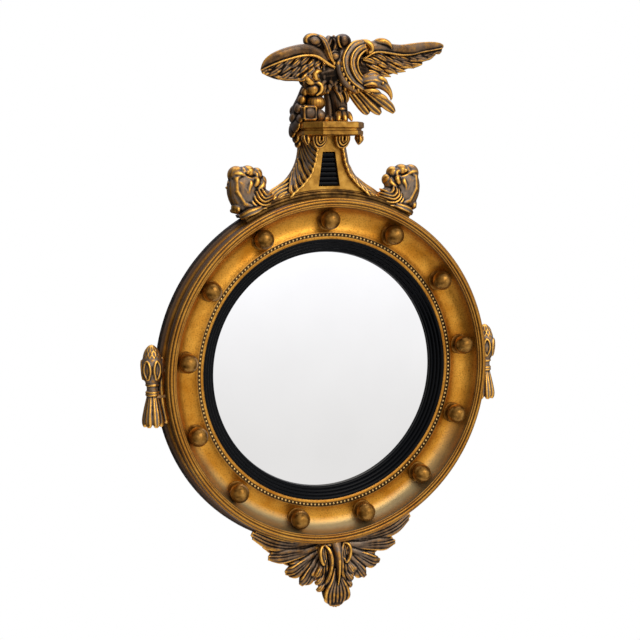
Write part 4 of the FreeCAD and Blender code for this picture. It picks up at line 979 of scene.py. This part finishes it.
# consoles: a tongue of leaf under the cap with three ribs that turn round its end
for name in ("right", "left"):
    bm = bmesh.new()
    cut_member(bm, [
        (19, -42, 362.6, 11.5, 8), (19, -41, 355, 11, 7), (19, -39, 348, 8, 5),
        (19, -38, 344.5, 2.5, 3),
    ])
    for half, low, y in ((10.6, 345, -43), (7, 349, -46), (3.2, 353, -48)):
        cut_member(bm, [(19 + half * share, y + step, z, 1.8, 2.4) for share, step, z in (
            (-1, -3, 362.4), (-1, -2, 356), (-0.6, 0, low + 2), (0, 1, low),
            (0.6, 0, low + 2), (1, -2, 356), (1, -3, 362.4),
        )])
    carve(f"console_{name}", bm, voxel=0.6, mirror=name == "left")

    bm = bmesh.new()
    cut_member(bm, [
        (44, -50, 362.8, 6.5, 6), (44, -51, 358, 7.5, 7), (43, -52, 353, 5, 5),
        (42, -53, 348.5, 1, 1),
    ], ribs=(3, 0.4))
    cut_member(bm, [(43, -56, 362.6, 2, 2), (43, -58, 356, 2.4, 2.2), (42, -56, 350, 0.8, 0.8)])
    carve(f"corner_drop_{name}", bm, voxel=0.6, mirror=name == "left")

# scrolls: the leaf's end swells to a curled head of soft lobes over a shell of ribs
for name in ("left", "right"):
    bm = block_of("scroll_left")
    cut_member(bm, [
        (-110, -21, 258, 16, 13), (-126, -22, 263, 22, 15), (-136, -22, 275, 23, 16),
        (-136, -22, 290, 24, 16), (-132, -22, 303, 20, 14),
    ], flat=0.7)
    for mass in (
        (-146, -22, 305, 13.5, 13, 13, 4), (-128, -24, 310, 10.5, 12, 9, 2),
        (-114, -22, 306, 9, 11, 10, -1), (-104.5, -21, 295, 6.5, 10, 9),
        (-112, -24, 288, 12, 11, 13), (-132, -34, 309, 2.6, 3, 3), (-117, -31, 304, 2.6, 4, 6),
        (-110, -25, 270, 20, 15, 15),
    ):
        swell(bm, *mass)
    for points, y, width in (
        ([(-158, 301), (-150, 307), (-139, 305), (-132, 297)], [-23, -31, -33, -30], 3),
        ([(-157, 299), (-147, 296), (-139, 288), (-133, 277), (-126, 264)],
         [-25, -32, -34, -34, -29], 2.4),
        ([(-160, 294), (-150, 288), (-142, 279), (-136, 269), (-128, 259)],
         [-22, -30, -33, -32, -27], 2.2),
        ([(-162, 287), (-154, 280), (-146, 271), (-139, 263), (-131, 256)],
         [-19, -26, -30, -29, -24], 2.2),
        ([(-159, 279), (-152, 271), (-145, 263), (-138, 256)], [-17, -23, -26, -22], 2),
        ([(-132, 302), (-128, 293), (-131, 285), (-131, 275), (-125, 266)],
         [-30, -35, -35, -33, -29], 3),
        ([(-124, 301), (-117, 298), (-119, 291), (-125, 286)], [-30, -34, -34, -31], 3),
        ([(-110, 300), (-107, 292), (-112, 286), (-119, 283)], [-27, -31, -33, -31], 2.8),
        ([(-127, 274), (-125, 263), (-113, 255), (-99, 256), (-86, 261)], [-31, -35, -36, -33, -27],
         1.9),
        ([(-123, 277), (-121, 267), (-111, 260), (-98, 261), (-87, 266)], [-33, -37, -38, -34, -27],
         1.7),
        ([(-119, 280), (-117, 271), (-109, 265), (-98, 267), (-88, 271)], [-34, -39, -39, -34, -27],
         1.7),
        ([(-115, 282), (-113, 275), (-107, 270), (-97, 272), (-88, 276)], [-34, -39, -38, -33, -26],
         1.7),
        ([(-110, 284), (-108, 279), (-103, 275), (-96, 278), (-90, 281)], [-33, -37, -35, -30, -25],
         1.7),
    ):
        stroke(
            bm, points, y, [1.6, width * 1.25, width * 1.25, width * 1.2, 1.4],
            [2.5, 4, 4, 4, 2],
        )
    swell(bm, -147, -24, 256, 8, 10, 9.5, lean=-1)
    swell(bm, -147.5, -33, 254, 2.6, 2.6, 4)
    stroke(
        bm, [(-141, 243), (-132, 248), (-121, 252), (-108, 257)], [-26, -32, -33, -28],
        [5, 7.5, 7, 4], [10, 13, 13, 9], ribs=(2, 0.2),
    )
    cut_flat(bm, (0, -1.2 * MM, 0), (0, 1, 0))
    carve(f"scroll_{name}", bm, ease=4, glaze_and_shade=-0.03, wax_and_sheen=0.25, mirror=name == "right")

# -------------------------------- apron
# A bold centre leaf hangs from the ring between two sprays, all cut with long veins
# that fan to the tips. The plain stem in the middle is burnished.
bm = bmesh.new()
stroke(
    bm, [(0, -271), (0, -290), (0, -318), (0, -340), (0, -358), (0, -372)],
    [-26, -29, -34, -39, -42, -43], [17, 20, 25, 23, 20, 9], [11, 10, 9, 8, 7, 4], flat=0.8,
)
for k in (-1, -0.66, -0.33, 0, 0.33, 0.66, 1):
    stroke(
        bm, [(2 + k * 2, -312), (2 + k * 9, -330), (1 + k * 18, -347), (1 + k * 19, -359),
             (1 + k * 13, -374.5 + 8 * k * k)], [-42, -46.5, -48.5, -47.5, -43],
        [1.2, 2.4, 3.4, 3.4, 1.6], [2, 3, 3.2, 3, 1.6],
    )
stroke(
    bm, [(3, -270), (4, -285), (4, -302), (3, -322), (2, -342)], [-41, -46, -49, -50, -48],
    [9, 6, 4.2, 2.6, 1.2], [5, 6, 6, 5, 2],
)
for side in (-1, 1):

    def branch(points, *sizes, **cut):
        stroke(bm, [(side * x, z) for x, z in points], *sizes, **cut)

    branch(
        [(17, -271), (11, -280), (8, -292), (8, -306), (11, -320), (16, -334), (22, -344)],
        [-40, -45, -48, -48, -47, -44, -40], [1.8, 2.8, 3, 2.8, 3, 3.4, 1.4],
        [3, 4.4, 4.4, 4, 3, 2], ribs=(2, 0.2),
    )
    for points in (
        [(14, -306), (20, -320), (27, -330), (33, -333)],
        [(12, -318), (18, -332), (25, -341), (30, -345)],
        [(18, -296), (23, -308), (29, -318), (33, -322)],
    ):
        branch(points, [-36, -41, -43, -39], [2, 4.6, 5.6, 3], [3, 4, 4, 2], ribs=(3, 0.25))
    for k in (0, 1, 2):
        branch(
            [(14 + 3 * k, -278), (14 + 4 * k, -296), (14 + 5 * k, -314), (17 + 5.5 * k, -330)],
            [-37, -40, -42, -41], [1.2, 2.2, 2.6, 1.4], [2, 3, 3, 1.6],
        )
    branch(
        [(16, -272), (23, -275), (26, -284), (24, -296), (19, -303), (16, -296)],
        [-40, -44, -46, -45, -43], [1.8, 2.8, 3, 2.8, 2.4, 1], [3, 4, 4, 3, 1],
    )
for x in (10, -10):
    swell(bm, x, -36, -274, 8, 8, 5)
carve("apron_leaf", bm, voxel=0.75, glaze_and_shade=0.08)

for name in ("right", "left"):
    bm = bmesh.new()
    stroke(
        bm, [(24, -278), (45, -283), (66, -283), (90, -272), (112, -262)], [-22, -24, -25, -26],
        [14, 22, 22, 15, 8], [7, 7, 6, 5, 4], flat=0.8,
    )
    for points, broad in (
        ([(24, -268), (52, -268), (80, -265), (108, -256), (134, -243)], 9.5),
        ([(26, -278), (48, -281), (70, -282), (90, -283), (107, -283)], 9.5),
        ([(26, -285), (42, -293), (56, -301), (69, -308), (79, -311)], 9.5),
        ([(25, -290), (34, -303), (42, -315), (49, -325), (54, -332)], 9),
        ([(22, -296), (27, -306), (31, -315), (35, -322), (37, -326)], 6),
    ):
        line = np.array(points, float)
        stroke(
            bm, line, [-26, -30, -33, -34, -34], [6, 8, broad, broad, broad * 0.55],
            [8, 8, 7, 6, 3], flat=0.8,
        )
        heading = np.gradient(line, axis=0)
        heading /= np.linalg.norm(heading, axis=1, keepdims=True)
        outward = np.column_stack([heading[:, 1], -heading[:, 0]])
        fan = np.array([0.15, 0.42, 0.74, 0.86, 0.62])[:, None] * broad
        for k in (-0.95, -0.32, 0.32, 0.95):
            rib = line + outward * k * fan
            rib[-1] += heading[-1] * (5.0 - 8.0 * abs(k))
            rib[-2] += heading[-1] * (1.5 - 3.0 * abs(k))
            rib[1:4] += outward[1:4] * 1.6
            stroke(
                bm, rib, [-30, -34.5, -37.5, -38.5, -35],
                np.array([1.4, 2.7, 3.4, 3.6, 2.2]) * (1 + 0.35 * sin(5 * k + points[-1][0])),
                [2, 3, 3.2, 3.2, 2.2],
            )
        for k in (-1, 1):
            mid = (line[2] + line[3]) / 2
            stroke(
                bm, [line[1] + outward[1] * k * 3, mid + outward[2] * k * broad * 0.85,
                     mid + heading[2] * 6 + outward[2] * k * broad * 1.15], [-31, -35, -33],
                [2, 3.6, 2.2], [4, 5, 3], ribs=(2, 0.2),
            )
    carve(f"apron_spray_{name}", bm, glaze_and_shade=0.09, mirror=name == "left")

# -------------------------------- side torches
# Each is turned, then carved: a hatched pinecone, a bud with sunk ovals, two gilded
# collars and a flared tassel of broad petals. It is doweled to the ring's side.
torch_axis, rim_seat = (283, -20), 265
cone_share, cone_radius = (0, 0.3, 0.6, 0.85, 1), (13, 11.6, 9.4, 6.2, 3)
bud_height, bud_radius = (5, 13, 21, 29, 35), (12.6, 14.8, 15.8, 15.4, 14.2)
for name in ("right", "left"):
    x, y = torch_axis
    bm = turning(
        [(0.4, 57.5), (4, 56), (8, 51.5), (10.6, 46), (12.6, 40), (14.4, 35), (15.6, 29),
         (15.8, 21), (14.8, 13), (12.4, 5),
         (10.2, 1), (9.8, -0.6), (10.6, -1.6), (10.4, -3.6), (8.6, -4.6), (8.6, -11), (10.4, -12.4),
         (10.9, -13.6), (9.9, -15.2), (10.9, -16.6), (10.6, -18.2), (8.4, -19.6), (8, -30),
         (0.4, -34)],
        steps=64, centre=(x, y, 0), axis=(0, 0, 1), closed=False,
    )

    def around(turn, radius, z, width, depth):
        return (x + cos(turn) * radius, y + sin(turn) * radius, z, width, depth)

    for lean in (-1, 1):
        for i in range(12):
            turn = tau * i / 12
            cut_member(bm, [
                around(turn + lean * 0.75 * t, np.interp(t, cone_share, cone_radius), 38 + 18 * t,
                       0.8, 0.9)
                for t in np.linspace(0, 1, 6)
            ], face=(cos(turn), sin(turn), 0.3), per=3)
    for i in range(6):
        turn = tau * (i + 0.25) / 6
        loop = []
        for t in np.linspace(0, tau * 15 / 14, 16):
            z = 20 + 13.5 * cos(t)
            swing = 0.34 * sin(t) * (1.0 if z > 12 else 0.85)
            loop.append(around(turn + swing, np.interp(z, bud_height, bud_radius), z, 1.9, 2.2))
        cut_member(bm, loop, face=(cos(turn), sin(turn), 0), per=3)
        swell(bm, x + cos(turn) * 13.6, y + sin(turn) * 13.6, 20, 2, 2, 8.5)
    for i in range(7):
        turn = tau * (i + 0.15) / 7
        cut_member(bm, [around(turn, *row) for row in (
            (6.4, -18, 3.2, 2.4), (8, -28, 4.2, 3.4), (10.6, -42, 5.6, 4.2),
            (12.6, -54, 6.2, 4.4), (12.8, -61, 5.4, 4), (12.2, -65.5, 2.6, 2.4),
        )], ribs=(2, 0.3), face=(cos(turn), sin(turn), 0))
    swell(bm, x, y, -44, 9, 9, 19)
    cut_member(bm, [
        (sqrt(rim_seat ** 2 - z * z) + 5, y, z, width, width + 2)
        for z, width in ((38, 2), (28, 6), (10, 6), (-6, 5), (-22, 5), (-40, 6), (-54, 6), (-62, 2))
    ])
    cut_flat(bm, (0, -1.2 * MM, 0), (0, 1, 0))
    carve(f"torch_{name}", bm, voxel=0.7, glaze_and_shade=-0.09, wax_and_sheen=0.3, mirror=name == "left")
